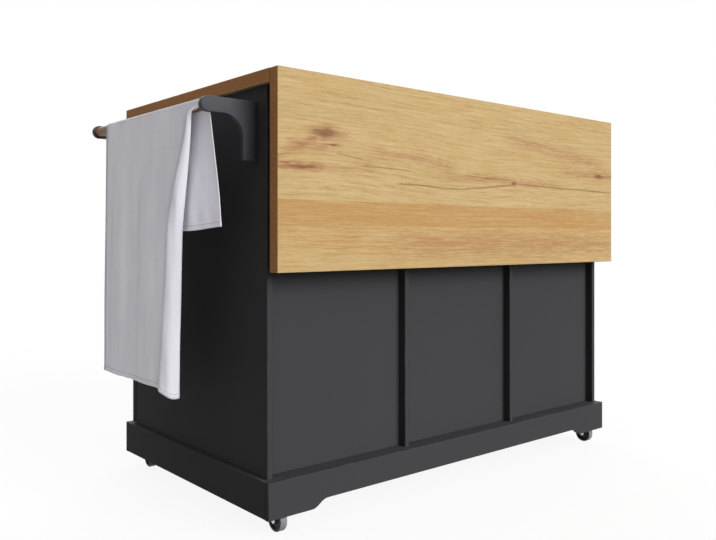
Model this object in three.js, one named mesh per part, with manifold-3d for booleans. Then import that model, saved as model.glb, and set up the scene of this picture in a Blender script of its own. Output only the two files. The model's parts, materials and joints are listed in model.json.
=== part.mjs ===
// A drop leaf kitchen island: a painted cabinet on four swivel casters, with an oak worktop, an oak leaf
// that hangs down its back, and a towel bar on one end.
// Millimetres, +Z up. Doors and drawers face -Y, the leaf hangs on the +Y side, the towel bar is at +X.
import * as THREE from "three";
import { mergeVertices } from "three/addons/utils/BufferGeometryUtils.js";
import Module from "manifold-3d";

const wasm = await Module();
wasm.setup();

// ---------------------------------------------------------------- driving dimensions
const TOTAL_HEIGHT = 905;
const TOP_LENGTH = 1140; // worktop, along X
const TOP_DEPTH = 655; // worktop without the leaf, along Y
const TOP_THICKNESS = 27;
const FIT_GAP = 0.3; // between pieces that seat in or run on each other
const CUT_OVER = 1; // how far a cut runs on past the face it opens

// carcass
const PANEL = 13; // side panels and partitions
const END_INSET = 10; // a side panel's outer face, from the worktop's end
const BACK_INSET = 19; // the panels' back edges, from the plinth's back face
const FRONT_INSET = 18; // the door fronts, from the plinth's front face
const BACK_PANEL = 6;
const BACK_RECESS = 19.5; // the back panels' faces, from the panels' back edges
const FLOOR_BOARD = 15;
const SHELF = 16;
const SHELF_HEIGHT = 370; // above the floor board
const SHELF_SET_BACK = 20; // a shelf's front edge, from the panels' front edges

// plinth
const PLINTH_TOP = 110; // above the floor
const FOOT_BOTTOM = 36;
const PLINTH_BOARD = 12;
const PLINTH_BACK_GAP = 2; // the plinth's back face, inside the worktop's back edge
const FOOT_LENGTH = 103; // flat part of a foot, from the end
const FOOT_SLOPE = 43; // length of the S-shaped rise beside it
const FOOT_RISE = 16.5; // how high the edge is cut between the feet
const FOOT_EASE = 0.45; // how far each end of the S runs level, as a share of its length

// drop leaf and its hinges
const LEAF_DROP = 392;
const LEAF_GAP_DOWN = 0.5; // leaf to worktop edge, hanging
const LEAF_GAP_UP = 1; // leaf to worktop edge, raised
const LEAF_END_GAP = 1.3; // shorter than the worktop, at each end
const COVE_END_GAP = 0.3; // from a leaf end to the end of the cove it turns in
const HINGE_SPACING = 800; // between the two hinge arms' centres
const HINGE_ARM_WIDTH = 30;
const HINGE_ARM_REACH = 50; // from the pin's centre to the arm's screwed end
const HINGE_PLATE = 3.5;
const HINGE_LEG = 4.4;
const HINGE_EYE_RADIUS = 5.5;
const HINGE_PIN_RADIUS = 2.5;
const HINGE_PIN_SEAT = 12; // length of pin in the wood, each side of the arm
const HINGE_POCKET_GAP = 0.5;

// folding stays that carry the raised leaf
const STAY_PIVOT_BELOW = 110; // below the leaf's pin
const STAY_PIVOT_OUT = 7.75; // behind the partition's back edge
const STAY_SUPPORT = 125; // from the leaf's pin to where the stay's tip carries the raised leaf
const STAY_WIDTH = 9;
const STAY_THICKNESS = 8;
const STAY_PIN_RADIUS = 2.5;
const STAY_SIDE_GAP = 0.5; // stay to each ear
const STAY_EAR = 1.5;
const STAY_PLATE = 2;
const STAY_PLATE_HEIGHT = 60;
const STAY_EAR_HEIGHT = 18;

// doors and drawers
const FRONT_BOARD = 16;
const FRONT_REVEAL = 3; // gap round each front
const DOOR_BACK_GAP = 4; // doors to the panels' front edges
const DOOR_PIVOT_INSET = 8; // pivot axis, from the door's outer edge
const DOOR_FRAME = 58;
const DRAWER_FRAME = 42;
const FIELD_RECESS = 5;
const PIVOT_RADIUS = 3;
const PIVOT_COLLAR_RADIUS = 6;
const PIVOT_IN_DOOR = 14;
const PIVOT_IN_BOARD = 8;
const DRAWERS = ["bottom", "middle", "top"];
const DRAWER_BACK_GAP = 74.5; // drawer box to back panel
const DRAWER_BOX_HEIGHT = 150;
const DRAWER_BOX_LIFT = 32; // box bottom, above its front's bottom edge
const DRAWER_WALL = 12;
const DRAWER_BOTTOM = 6;
const DRAWER_SIDE_GAP = 13;
const RUNNER_STRAP = 3;
const RUNNER_STRAP_WIDTH = 50;
const RUNNER_THICKNESS = 6;
const RUNNER_GRIP = 10; // how far a runner reaches under a drawer's side
const RUNNER_START = 10; // behind the panels' front edges
const RUNNER_BACK_GAP = 84.5; // runners to back panel
const KNOB_RADIUS = 15;
const KNOB_NECK_RADIUS = 7;
const KNOB_PROJECTION = 17;
const KNOB_FOOT = 2; // height and width of the flare where the neck meets the front
const KNOB_TAPER = 1; // how much narrower the neck and the head's back edge are
const KNOB_WAIST = 0.45; // heights on a knob, as shares of its projection: the neck's end,
const KNOB_SHOULDER = 0.58; // the head's back edge,
const KNOB_WIDEST = 0.72; // its widest ring
const KNOB_CROWN = 0.93; // and the rim of its face
const KNOB_FACE = 0.75; // radius of that rim, as a share of the knob's
const DOOR_KNOB_DROP = 110; // below the door's top edge

// towel bar
const BRACKET_FROM_BACK = 40; // near bracket's centre, from the side panel's back edge
const BRACKET_FROM_FRONT = 33; // far bracket's centre, from the side panel's front edge
const BRACKET_THICKNESS = 11;
const BRACKET_REACH = 124;
const BRACKET_DROP = 30; // below the worktop
const BRACKET_HEIGHT = 118;
const BRACKET_ARM = 30; // height of the arm, rounded to a half circle at its tip
const BRACKET_LEG = 32;
const BRACKET_CURVE = 44; // radius of the hollow between arm and leg
const BRACKET_CORNER = 6;
const BAR_RADIUS = 11;
const BAR_SEAT = 6; // depth of a bar end in its bracket

// towel
const TOWEL_THICKNESS = 3;
const TOWEL_EDGE_GAP = 11; // from the near bracket to the towel's edge, on the bar
const TOWEL_FAR_GAP = 71; // from the far bracket to the towel's other edge
const TOWEL_OUTER_DROP = 562; // below the bar's centre
const TOWEL_INNER_DROP = 240;
const TOWEL_DRIFT = 12; // how far the outer drop's far edge leans away at its hem
const TOWEL_WAVE = 4; // depth of the hanging waves
const TOWEL_WAVE_WIDTH = 150;
const TOWEL_LEAN = 20; // how far the inner drop's near edge leans to the end panel at its hem
const TOWEL_FLARE = 9; // and how far that edge swings out along the bar
const LEAN_FROM = 1 / 3; // where the inner drop starts to lean, as a share of its width
const FOLD_AT_BAR = 22; // cloth beyond the fold's ridge, at the bar
const FOLD_GAIN = 66; // how much more there is further down
const FOLD_GAIN_DEPTH = 170; // depth below the bar at which that much is reached
const FOLD_SPREAD = 0.11; // gain for each mm below that depth
const FOLD_TURN_DEPTHS = [6, 38]; // depths between which the fold turns in
const FOLD_SAG = 0.03; // how much further the folded part hangs down, as a share of the drop
const FOLD_RISE = 70; // width of cloth that lifts towards the ridge
const FOLD_LIFT = 14; // degrees that it turns outwards on the way
const FOLD_RIDGE = 0.06; // half the ridge's width, as a share of the cloth beyond it
const FOLD_FACE = [0.27, -62, -75]; // face beyond the ridge: its end as such a share, first and last heading
const FOLD_TURN = [0.46, -183]; // where the cloth has turned back, as such a share, and its heading there

// casters
const WHEEL_RADIUS = 23;
const WHEEL_WIDTH = 17;
const TYRE_DEPTH = 6;
const HUB_RADIUS = 6;
const HUB_PROUD = 0.7; // hub's ends, beyond the tyre's faces
const WEB_EASE = 1; // slope of the web's sides at hub and tyre
const WEB_HALF_WIDTH = 5;
const TYRE_EDGE = 1.5;
const CASTER_OVERLAP = 3; // how far a turned wheel reaches in under the plinth's boards
const CASTER_TRAIL = 11;
const CASTER_PLATE = 44;
const CASTER_PLATE_THICKNESS = 3;
const HOUSING_RADIUS = 11;
const HOUSING_ROOF = 3;
const KINGPIN_RADIUS = 5;
const CROWN_RADIUS = 13;
const CROWN_THICKNESS = 3.7;
const FORK_SHEET = 2;
const FORK_BRIDGE = 3;
const FORK_ROOM = 3; // over the wheel
const FORK_HALF_LENGTH = 9;
const FORK_FOOT_RADIUS = 6;
const FORK_FOOT_ARC = [1.25 * Math.PI, 2.1 * Math.PI]; // the part of a circle that a cheek's foot follows
const AXLE_RADIUS = 2.5;

// ---------------------------------------------------------------- places worked out from them
const worktopEnd = TOP_LENGTH / 2;
const worktopBack = TOP_DEPTH / 2;
const worktopFront = -TOP_DEPTH / 2;
const worktopUnderside = TOTAL_HEIGHT - TOP_THICKNESS;
const plinthBack = worktopBack - PLINTH_BACK_GAP;
const panelOuter = worktopEnd - END_INSET;
const panelInner = panelOuter - PANEL;
const panelBack = plinthBack - BACK_INSET;
const frontFace = worktopFront + FRONT_INSET;
const frontBack = frontFace + FRONT_BOARD;
const panelFront = frontBack + DOOR_BACK_GAP;
const bayWidth = (2 * panelInner - 2 * PANEL) / 3;
const partitionCentre = bayWidth / 2 + PANEL / 2;
const backPanelFace = panelBack - BACK_RECESS;
const backPanelFront = backPanelFace - BACK_PANEL;
const leafLength = TOP_LENGTH - 2 * LEAF_END_GAP;
const pinFromEdge = (TOP_THICKNESS + LEAF_GAP_DOWN + LEAF_GAP_UP) / 2;
const pinFromTop = pinFromEdge - LEAF_GAP_UP;
const pinY = worktopBack + pinFromEdge;
const pinZ = TOTAL_HEIGHT - pinFromTop;
const sides = [
  ["left", -1],
  ["right", 1],
];

// ---------------------------------------------------------------- materials
const finish = (color, roughness, metalness = 0) =>
  new THREE.MeshStandardMaterial({ color, roughness, metalness });
const oak = finish(0xd2a86c, 0.5);
const barWood = finish(0x8a6540, 0.5);
const paint = finish(0x3e3f41, 0.55);
const panelBoard = finish(0xcdbb9c, 0.7);
const zinc = finish(0xb9bbbe, 0.3, 1);
const steel = finish(0x8f9296, 0.35, 1);
const bracketMetal = finish(0x4c4c50, 0.45, 0.6);
const rubber = finish(0x1c1c1d, 0.6);
const cotton = finish(0xe9e8ee, 0.9);

// ---------------------------------------------------------------- how many sides stand in for a circle
const PIN_SIDES = 14;
const KNOB_SIDES = 18;
const CROWN_SIDES = 18;
const WHEEL_SIDES = 22;
const BAR_SIDES = 24;
const COVE_SIDES = 96;
const WELD = 1e-4; // points nearer to each other than this are one point

// ---------------------------------------------------------------- helpers
const island = new THREE.Group();

/** Adds one named sub-part to the island. */
function add(name, geometry, material, parent = island) {
  const mesh = new THREE.Mesh(geometry, material);
  mesh.name = name;
  parent.add(mesh);
  return mesh;
}

/** A box between two corners. */
function block([x0, x1], [y0, y1], [z0, z1]) {
  const box = new THREE.BoxGeometry(x1 - x0, y1 - y0, z1 - z0);
  return box.translate((x0 + x1) / 2, (y0 + y1) / 2, (z0 + z1) / 2);
}

const basis = (x, y, z) =>
  new THREE.Matrix4().makeBasis(new THREE.Vector3(...x), new THREE.Vector3(...y), new THREE.Vector3(...z));

/** An outline drawn in (y, z), extruded from x0 to x1. */
function alongX(outline, x0, x1, curveSegments = 8) {
  const bar = new THREE.ExtrudeGeometry(outline, { depth: x1 - x0, bevelEnabled: false, curveSegments });
  return bar.applyMatrix4(basis([0, 1, 0], [0, 0, 1], [1, 0, 0])).translate(x0, 0, 0);
}

/** An outline drawn in (x, z), extruded from y0 to y1. */
function alongY(outline, y0, y1, curveSegments = 10) {
  const bar = new THREE.ExtrudeGeometry(outline, { depth: y1 - y0, bevelEnabled: false, curveSegments });
  return bar.applyMatrix4(basis([1, 0, 0], [0, 0, 1], [0, -1, 0])).translate(0, y1, 0);
}

/** A round rod between two heights, or between two places along X or Y. */
function rod(axis, radius, from, to, centre, roundness = PIN_SIDES) {
  const cylinder = new THREE.CylinderGeometry(radius, radius, to - from, roundness);
  const middle = (from + to) / 2;
  if (axis === "x") return cylinder.rotateZ(-Math.PI / 2).translate(middle, centre[0], centre[1]);
  if (axis === "y") return cylinder.translate(centre[0], middle, centre[1]);
  return cylinder.rotateX(Math.PI / 2).translate(centre[0], centre[1], middle);
}

/** A closed three.js geometry as a manifold solid. */
function solid(geometry) {
  const bare = geometry.clone();
  bare.deleteAttribute("normal");
  bare.deleteAttribute("uv");
  const merged = mergeVertices(bare, WELD);
  return new wasm.Manifold(
    new wasm.Mesh({
      numProp: 3,
      vertProperties: merged.attributes.position.array,
      triVerts: new Uint32Array(merged.index.array),
    }),
  );
}

/** Geometries joined, and others cut away, as one geometry. */
function shaped(joined, cut = []) {
  const whole = joined.map(solid).reduce((a, b) => a.add(b));
  const result = cut.map(solid).reduce((a, b) => a.subtract(b), whole);
  const { vertProperties, triVerts } = result.getMesh();
  const geometry = new THREE.BufferGeometry();
  geometry.setAttribute("position", new THREE.BufferAttribute(new Float32Array(vertProperties), 3));
  geometry.setIndex(new THREE.BufferAttribute(new Uint32Array(triVerts), 1));
  geometry.computeVertexNormals();
  return geometry;
}

// ---------------------------------------------------------------- plinth
/** A plinth board's outline: square on top, with bracket feet below and a smooth S beside each foot. */
function footedOutline(halfLength) {
  const toe = halfLength - FOOT_LENGTH;
  const arch = toe - FOOT_SLOPE;
  const raised = FOOT_BOTTOM + FOOT_RISE;
  const ease = FOOT_SLOPE * FOOT_EASE;
  const outline = new THREE.Shape();
  outline.moveTo(-halfLength, PLINTH_TOP);
  outline.lineTo(-halfLength, FOOT_BOTTOM);
  outline.lineTo(-toe, FOOT_BOTTOM);
  outline.bezierCurveTo(-toe + ease, FOOT_BOTTOM, -arch - ease, raised, -arch, raised);
  outline.lineTo(arch, raised);
  outline.bezierCurveTo(arch + ease, raised, toe - ease, FOOT_BOTTOM, toe, FOOT_BOTTOM);
  outline.lineTo(halfLength, FOOT_BOTTOM);
  outline.lineTo(halfLength, PLINTH_TOP);
  outline.closePath();
  return outline;
}

add("plinth_back", alongY(footedOutline(worktopEnd), plinthBack - PLINTH_BOARD, plinthBack), paint);
add("plinth_front", alongY(footedOutline(worktopEnd), worktopFront, worktopFront + PLINTH_BOARD), paint);

const plinthInside = [worktopFront + PLINTH_BOARD, plinthBack - PLINTH_BOARD];
for (const [side, sign] of sides) {
  const reach = [sign * worktopEnd, sign * (worktopEnd - PLINTH_BOARD)].sort((a, b) => a - b);
  add(`plinth_${side}_end`, block(reach, plinthInside, [FOOT_BOTTOM, PLINTH_TOP]), paint);
}

// ---------------------------------------------------------------- carcass
const doorPivotX = panelOuter - DOOR_PIVOT_INSET;
const doorPivotY = (frontFace + frontBack) / 2;
const floorEnd = worktopEnd - PLINTH_BOARD;
const floorBottom = PLINTH_TOP - FLOOR_BOARD;
const pivotSockets = (from, to) =>
  sides.map(([, sign]) => rod("z", PIVOT_RADIUS + FIT_GAP, from, to, [sign * doorPivotX, doorPivotY]));

add(
  "floor_board",
  shaped(
    [block([-floorEnd, floorEnd], plinthInside, [floorBottom, PLINTH_TOP])],
    pivotSockets(PLINTH_TOP - PIVOT_IN_BOARD, PLINTH_TOP + CUT_OVER),
  ),
  paint,
);

for (const [side, sign] of sides) {
  const reach = [sign * panelOuter, sign * panelInner].sort((a, b) => a - b);
  add(`side_panel_${side}`, block(reach, [panelFront, panelBack], [PLINTH_TOP, worktopUnderside]), paint);
  const centre = sign * partitionCentre;
  const across = [centre - PANEL / 2, centre + PANEL / 2];
  add(`partition_${side}`, block(across, [panelFront, panelBack], [PLINTH_TOP, worktopUnderside]), paint);
}

const bayCentres = { left: -(bayWidth + PANEL), middle: 0, right: bayWidth + PANEL };
for (const [bay, centre] of Object.entries(bayCentres)) {
  const across = [centre - bayWidth / 2, centre + bayWidth / 2];
  const deep = [backPanelFront, backPanelFace];
  add(`back_panel_${bay}`, block(across, deep, [PLINTH_TOP, worktopUnderside]), paint);
}

for (const [side] of sides) {
  const across = [bayCentres[side] - bayWidth / 2, bayCentres[side] + bayWidth / 2];
  const shelfBottom = PLINTH_TOP + SHELF_HEIGHT;
  const deep = [panelFront + SHELF_SET_BACK, backPanelFront];
  add(`shelf_${side}`, block(across, deep, [shelfBottom, shelfBottom + SHELF]), panelBoard);
}

// ---------------------------------------------------------------- worktop and leaf
const leafCorner = Math.hypot(pinFromEdge - LEAF_GAP_DOWN, pinFromTop);
const coveRadius = leafCorner + FIT_GAP;
const coveEnd = leafLength / 2 + COVE_END_GAP;
const armFootDepth = TOP_THICKNESS - pinFromTop + HINGE_PLATE;
const pocketRadius = Math.hypot(pinFromEdge - LEAF_GAP_DOWN, armFootDepth) + HINGE_POCKET_GAP;
const pocketBack = HINGE_EYE_RADIUS + HINGE_POCKET_GAP;

add(
  "worktop",
  shaped(
    [block([-worktopEnd, worktopEnd], [worktopFront, worktopBack], [worktopUnderside, TOTAL_HEIGHT])],
    [
      rod("x", coveRadius, -coveEnd, coveEnd, [pinY, pinZ], COVE_SIDES),
      ...pivotSockets(worktopUnderside - CUT_OVER, worktopUnderside + PIVOT_IN_BOARD),
    ],
  ),
  oak,
);

/** The space that a hinge arm sweeps in the leaf: square at the pin's far side, round at the arm's foot. */
function pocketOutline() {
  const open = -(pinFromEdge + pocketBack);
  const outline = new THREE.Shape();
  outline.moveTo(pinY + open, pinZ + pocketBack);
  outline.lineTo(pinY + pocketBack, pinZ + pocketBack);
  const start = -Math.acos(pocketBack / pocketRadius);
  const end = -Math.PI + Math.acos(-open / pocketRadius);
  outline.absarc(pinY, pinZ, pocketRadius, start, end, true);
  outline.closePath();
  return outline;
}

/** A hinge arm's outline: screwed plate under the worktop, a short leg and an eye round the pin. */
function armOutline() {
  const plateTop = worktopUnderside;
  const plateBottom = plateTop - HINGE_PLATE;
  const lean = Math.asin(HINGE_LEG / 2 / HINGE_EYE_RADIUS);
  const outline = new THREE.Shape();
  outline.moveTo(pinY - HINGE_ARM_REACH, plateBottom);
  outline.lineTo(pinY + HINGE_LEG / 2, plateBottom);
  outline.absarc(pinY, pinZ, HINGE_EYE_RADIUS, lean - Math.PI / 2, 1.5 * Math.PI - lean, false);
  outline.lineTo(pinY - HINGE_LEG / 2, plateTop);
  outline.lineTo(pinY - HINGE_ARM_REACH, plateTop);
  outline.closePath();
  const bore = new THREE.Path();
  bore.absarc(pinY, pinZ, HINGE_PIN_RADIUS + FIT_GAP, 0, 2 * Math.PI, true);
  outline.holes.push(bore);
  return outline;
}

const leafInner = worktopBack + LEAF_GAP_DOWN;
const leafCuts = [];
for (const [side, sign] of sides) {
  const centre = (sign * HINGE_SPACING) / 2;
  const halfPocket = HINGE_ARM_WIDTH / 2 + HINGE_POCKET_GAP;
  const halfPin = halfPocket + HINGE_PIN_SEAT;
  const axis = [pinY, pinZ];
  const halfBore = halfPin + FIT_GAP;
  leafCuts.push(alongX(pocketOutline(), centre - halfPocket, centre + halfPocket, 16));
  leafCuts.push(rod("x", HINGE_PIN_RADIUS + FIT_GAP, centre - halfBore, centre + halfBore, axis));
  const armEnds = [centre - HINGE_ARM_WIDTH / 2, centre + HINGE_ARM_WIDTH / 2];
  add(`leaf_hinge_arm_${side}`, alongX(armOutline(), ...armEnds), steel);
  add(`leaf_hinge_pin_${side}`, rod("x", HINGE_PIN_RADIUS, centre - halfPin, centre + halfPin, axis), zinc);
}
add(
  "drop_leaf",
  shaped(
    [
      block(
        [-leafLength / 2, leafLength / 2],
        [leafInner, leafInner + TOP_THICKNESS],
        [TOTAL_HEIGHT - LEAF_DROP, TOTAL_HEIGHT],
      ),
    ],
    leafCuts,
  ),
  oak,
);

// ---------------------------------------------------------------- folding stays
const stayY = panelBack + STAY_PIVOT_OUT;
const stayZ = pinZ - STAY_PIVOT_BELOW;
const stayTipRadius = STAY_THICKNESS / 2;
const raisedUnderside = pinZ - (pinFromEdge - LEAF_GAP_DOWN);
const tipRise = raisedUnderside - FIT_GAP - stayTipRadius - stayZ;
const stayLength = Math.hypot(pinY + STAY_SUPPORT - stayY, tipRise);

/** A stay's outline, hanging from its pivot: round at both ends, with the pivot's bore. */
function stayOutline() {
  const outline = new THREE.Shape();
  outline.absarc(stayY, stayZ, stayTipRadius, 0, Math.PI, false);
  outline.absarc(stayY, stayZ - stayLength, stayTipRadius, Math.PI, 2 * Math.PI, false);
  outline.closePath();
  const bore = new THREE.Path();
  bore.absarc(stayY, stayZ, STAY_PIN_RADIUS + FIT_GAP, 0, 2 * Math.PI, true);
  outline.holes.push(bore);
  return outline;
}

/** A stay bracket's ear: a tab that runs out from the plate and ends round the pivot. */
function earOutline() {
  const half = STAY_EAR_HEIGHT / 2;
  const outline = new THREE.Shape();
  outline.moveTo(panelBack, stayZ + half);
  outline.lineTo(panelBack, stayZ - half);
  outline.lineTo(stayY, stayZ - stayTipRadius);
  outline.absarc(stayY, stayZ, stayTipRadius, -Math.PI / 2, Math.PI / 2, false);
  outline.closePath();
  return outline;
}

const earInner = STAY_WIDTH / 2 + STAY_SIDE_GAP;
const earOuter = earInner + STAY_EAR;
for (const [side, sign] of sides) {
  const centre = sign * partitionCentre;
  const plateHeights = [stayZ - STAY_PLATE_HEIGHT / 2, stayZ + STAY_PLATE_HEIGHT / 2];
  add(
    `stay_bracket_${side}`,
    shaped([
      block([centre - PANEL / 2, centre + PANEL / 2], [panelBack, panelBack + STAY_PLATE], plateHeights),
      alongX(earOutline(), centre - earOuter, centre - earInner),
      alongX(earOutline(), centre + earInner, centre + earOuter),
      rod("x", STAY_PIN_RADIUS, centre - earOuter, centre + earOuter, [stayY, stayZ]),
    ]),
    steel,
  );
  add(`stay_${side}`, alongX(stayOutline(), centre - STAY_WIDTH / 2, centre + STAY_WIDTH / 2), steel);
}

// ---------------------------------------------------------------- doors and drawers
const frontBottom = PLINTH_TOP + FRONT_REVEAL;
const frontTop = worktopUnderside - FRONT_REVEAL;

/** A front board between two corners, with a field sunk in its face. */
function framedFront(across, heights, frame, cuts = []) {
  const field = block(
    [across[0] + frame, across[1] - frame],
    [frontFace - CUT_OVER, frontFace + FIELD_RECESS],
    [heights[0] + frame, heights[1] - frame],
  );
  return shaped([block(across, [frontFace, frontBack], heights)], [field, ...cuts]);
}

/** A turned knob on a front, standing out along -Y. */
function knob(x, z, seatDepth = 0) {
  const profile = [
    [0, 0],
    [KNOB_NECK_RADIUS + KNOB_FOOT, 0],
    [KNOB_NECK_RADIUS, KNOB_FOOT],
    [KNOB_NECK_RADIUS - KNOB_TAPER, KNOB_PROJECTION * KNOB_WAIST],
    [KNOB_RADIUS - KNOB_TAPER, KNOB_PROJECTION * KNOB_SHOULDER],
    [KNOB_RADIUS, KNOB_PROJECTION * KNOB_WIDEST],
    [KNOB_RADIUS * KNOB_FACE, KNOB_PROJECTION * KNOB_CROWN],
    [0, KNOB_PROJECTION],
  ].map(([r, h]) => new THREE.Vector2(r, h));
  const turned = new THREE.LatheGeometry(profile, KNOB_SIDES);
  return turned.rotateX(Math.PI).translate(x, frontFace + seatDepth, z);
}

const drawerBack = backPanelFront - DRAWER_BACK_GAP;
const partitionReveal = partitionCentre + FRONT_REVEAL / 2;
for (const [side, sign] of sides) {
  const across = [sign * panelOuter, sign * partitionReveal].sort((a, b) => a - b);
  const pivot = [sign * doorPivotX, doorPivotY];
  const seat = PIVOT_RADIUS + FIT_GAP;
  add(
    `door_${side}`,
    framedFront(across, [frontBottom, frontTop], DOOR_FRAME, [
      rod("z", seat, frontBottom - CUT_OVER, frontBottom + PIVOT_IN_DOOR, pivot),
      rod("z", seat, frontTop - PIVOT_IN_DOOR, frontTop + CUT_OVER, pivot),
    ]),
    paint,
  );
  const knobX = sign * (partitionReveal + DOOR_FRAME / 2);
  add(`door_knob_${side}`, knob(knobX, frontTop - DOOR_KNOB_DROP), bracketMetal);
  const pinLengths = {
    bottom: [PLINTH_TOP - PIVOT_IN_BOARD + FIT_GAP, frontBottom + PIVOT_IN_DOOR - FIT_GAP],
    top: [frontTop - PIVOT_IN_DOOR + FIT_GAP, worktopUnderside + PIVOT_IN_BOARD - FIT_GAP],
  };
  const collars = {
    bottom: [PLINTH_TOP + FIT_GAP, frontBottom - FIT_GAP],
    top: [frontTop + FIT_GAP, worktopUnderside - FIT_GAP],
  };
  for (const end of ["bottom", "top"]) {
    add(
      `door_pivot_${side}_${end}`,
      shaped([
        rod("z", PIVOT_RADIUS, ...pinLengths[end], pivot),
        rod("z", PIVOT_COLLAR_RADIUS, ...collars[end], pivot),
      ]),
      zinc,
    );
  }
}

const drawerHalf = partitionCentre - FRONT_REVEAL / 2;
const drawerPitch = (frontTop - frontBottom + FRONT_REVEAL) / DRAWERS.length;
const boxHalf = bayWidth / 2 - DRAWER_SIDE_GAP;
const boxBottoms = [];
for (const [i, name] of DRAWERS.entries()) {
  const low = frontBottom + i * drawerPitch;
  const heights = [low, low + drawerPitch - FRONT_REVEAL];
  const bottom = low + DRAWER_BOX_LIFT;
  boxBottoms.push(bottom);
  add(`drawer_front_${name}`, framedFront([-drawerHalf, drawerHalf], heights, DRAWER_FRAME), paint);
  add(
    `drawer_box_${name}`,
    shaped(
      [block([-boxHalf, boxHalf], [frontBack, drawerBack], [bottom, bottom + DRAWER_BOX_HEIGHT])],
      [
        block(
          [-boxHalf + DRAWER_WALL, boxHalf - DRAWER_WALL],
          [frontBack + DRAWER_WALL, drawerBack - DRAWER_WALL],
          [bottom + DRAWER_BOTTOM, bottom + DRAWER_BOX_HEIGHT + CUT_OVER],
        ),
      ],
    ),
    panelBoard,
  );
  add(`drawer_knob_${name}`, knob(0, (heights[0] + heights[1]) / 2, FIELD_RECESS), bracketMetal);
}

const runnerFront = panelFront + RUNNER_START;
const runnerBack = backPanelFront - RUNNER_BACK_GAP;
for (const [side, sign] of sides) {
  const wall = sign * (bayWidth / 2);
  const across = (depth) => [wall, wall - sign * depth].sort((a, b) => a - b);
  const ledges = boxBottoms.map((bottom) =>
    block(
      across(DRAWER_SIDE_GAP + RUNNER_GRIP),
      [runnerFront, runnerBack],
      [bottom - FIT_GAP - RUNNER_THICKNESS, bottom - FIT_GAP],
    ),
  );
  const strapHeights = [boxBottoms[0] - FIT_GAP - RUNNER_THICKNESS, boxBottoms.at(-1) - FIT_GAP];
  const straps = [runnerFront, runnerBack - RUNNER_STRAP_WIDTH].map((y) =>
    block(across(RUNNER_STRAP), [y, y + RUNNER_STRAP_WIDTH], strapHeights),
  );
  add(`drawer_runners_${side}`, shaped([...ledges, ...straps]), zinc);
}

// ---------------------------------------------------------------- towel bar
const barX = panelOuter + BRACKET_REACH - BRACKET_ARM / 2;
const bracketTop = worktopUnderside - BRACKET_DROP;
const bracketBottom = bracketTop - BRACKET_HEIGHT;
const barZ = bracketTop - BRACKET_ARM / 2;
const nearBracketY = panelBack - BRACKET_FROM_BACK;
const farBracketY = panelFront + BRACKET_FROM_FRONT;

/** A bracket's outline: a leg on the side panel, a hollow curve and an arm with a round tip. */
function bracketOutline() {
  const armBottom = bracketTop - BRACKET_ARM;
  const legFace = panelOuter + BRACKET_LEG;
  const outline = new THREE.Shape();
  outline.moveTo(panelOuter, bracketTop);
  outline.lineTo(panelOuter, bracketBottom);
  const cornerX = legFace - BRACKET_CORNER;
  const hollow = [legFace + BRACKET_CURVE, armBottom - BRACKET_CURVE];
  outline.absarc(cornerX, bracketBottom + BRACKET_CORNER, BRACKET_CORNER, -Math.PI / 2, 0, false);
  outline.absarc(...hollow, BRACKET_CURVE, Math.PI, Math.PI / 2, true);
  outline.absarc(barX, barZ, BRACKET_ARM / 2, -Math.PI / 2, Math.PI / 2, false);
  outline.closePath();
  return outline;
}

const bracketGap = [farBracketY + BRACKET_THICKNESS / 2, nearBracketY - BRACKET_THICKNESS / 2];
const barEnds = [bracketGap[0] - BAR_SEAT, bracketGap[1] + BAR_SEAT];
const socketEnds = [barEnds[0] - FIT_GAP, barEnds[1] + FIT_GAP];
const barSocket = rod("y", BAR_RADIUS + FIT_GAP, ...socketEnds, [barX, barZ], BAR_SIDES);
for (const [place, y] of [
  ["near", nearBracketY],
  ["far", farBracketY],
]) {
  const plate = alongY(bracketOutline(), y - BRACKET_THICKNESS / 2, y + BRACKET_THICKNESS / 2);
  add(`towel_bracket_${place}`, shaped([plate], [barSocket]), bracketMetal);
}
add("towel_bar", rod("y", BAR_RADIUS, ...barEnds, [barX, barZ], BAR_SIDES), barWood);

// ---------------------------------------------------------------- towel
const smooth = (t) => {
  const c = Math.min(Math.max(t, 0), 1);
  return c * c * (3 - 2 * c);
};
const radians = (degrees) => (degrees * Math.PI) / 180;

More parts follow.
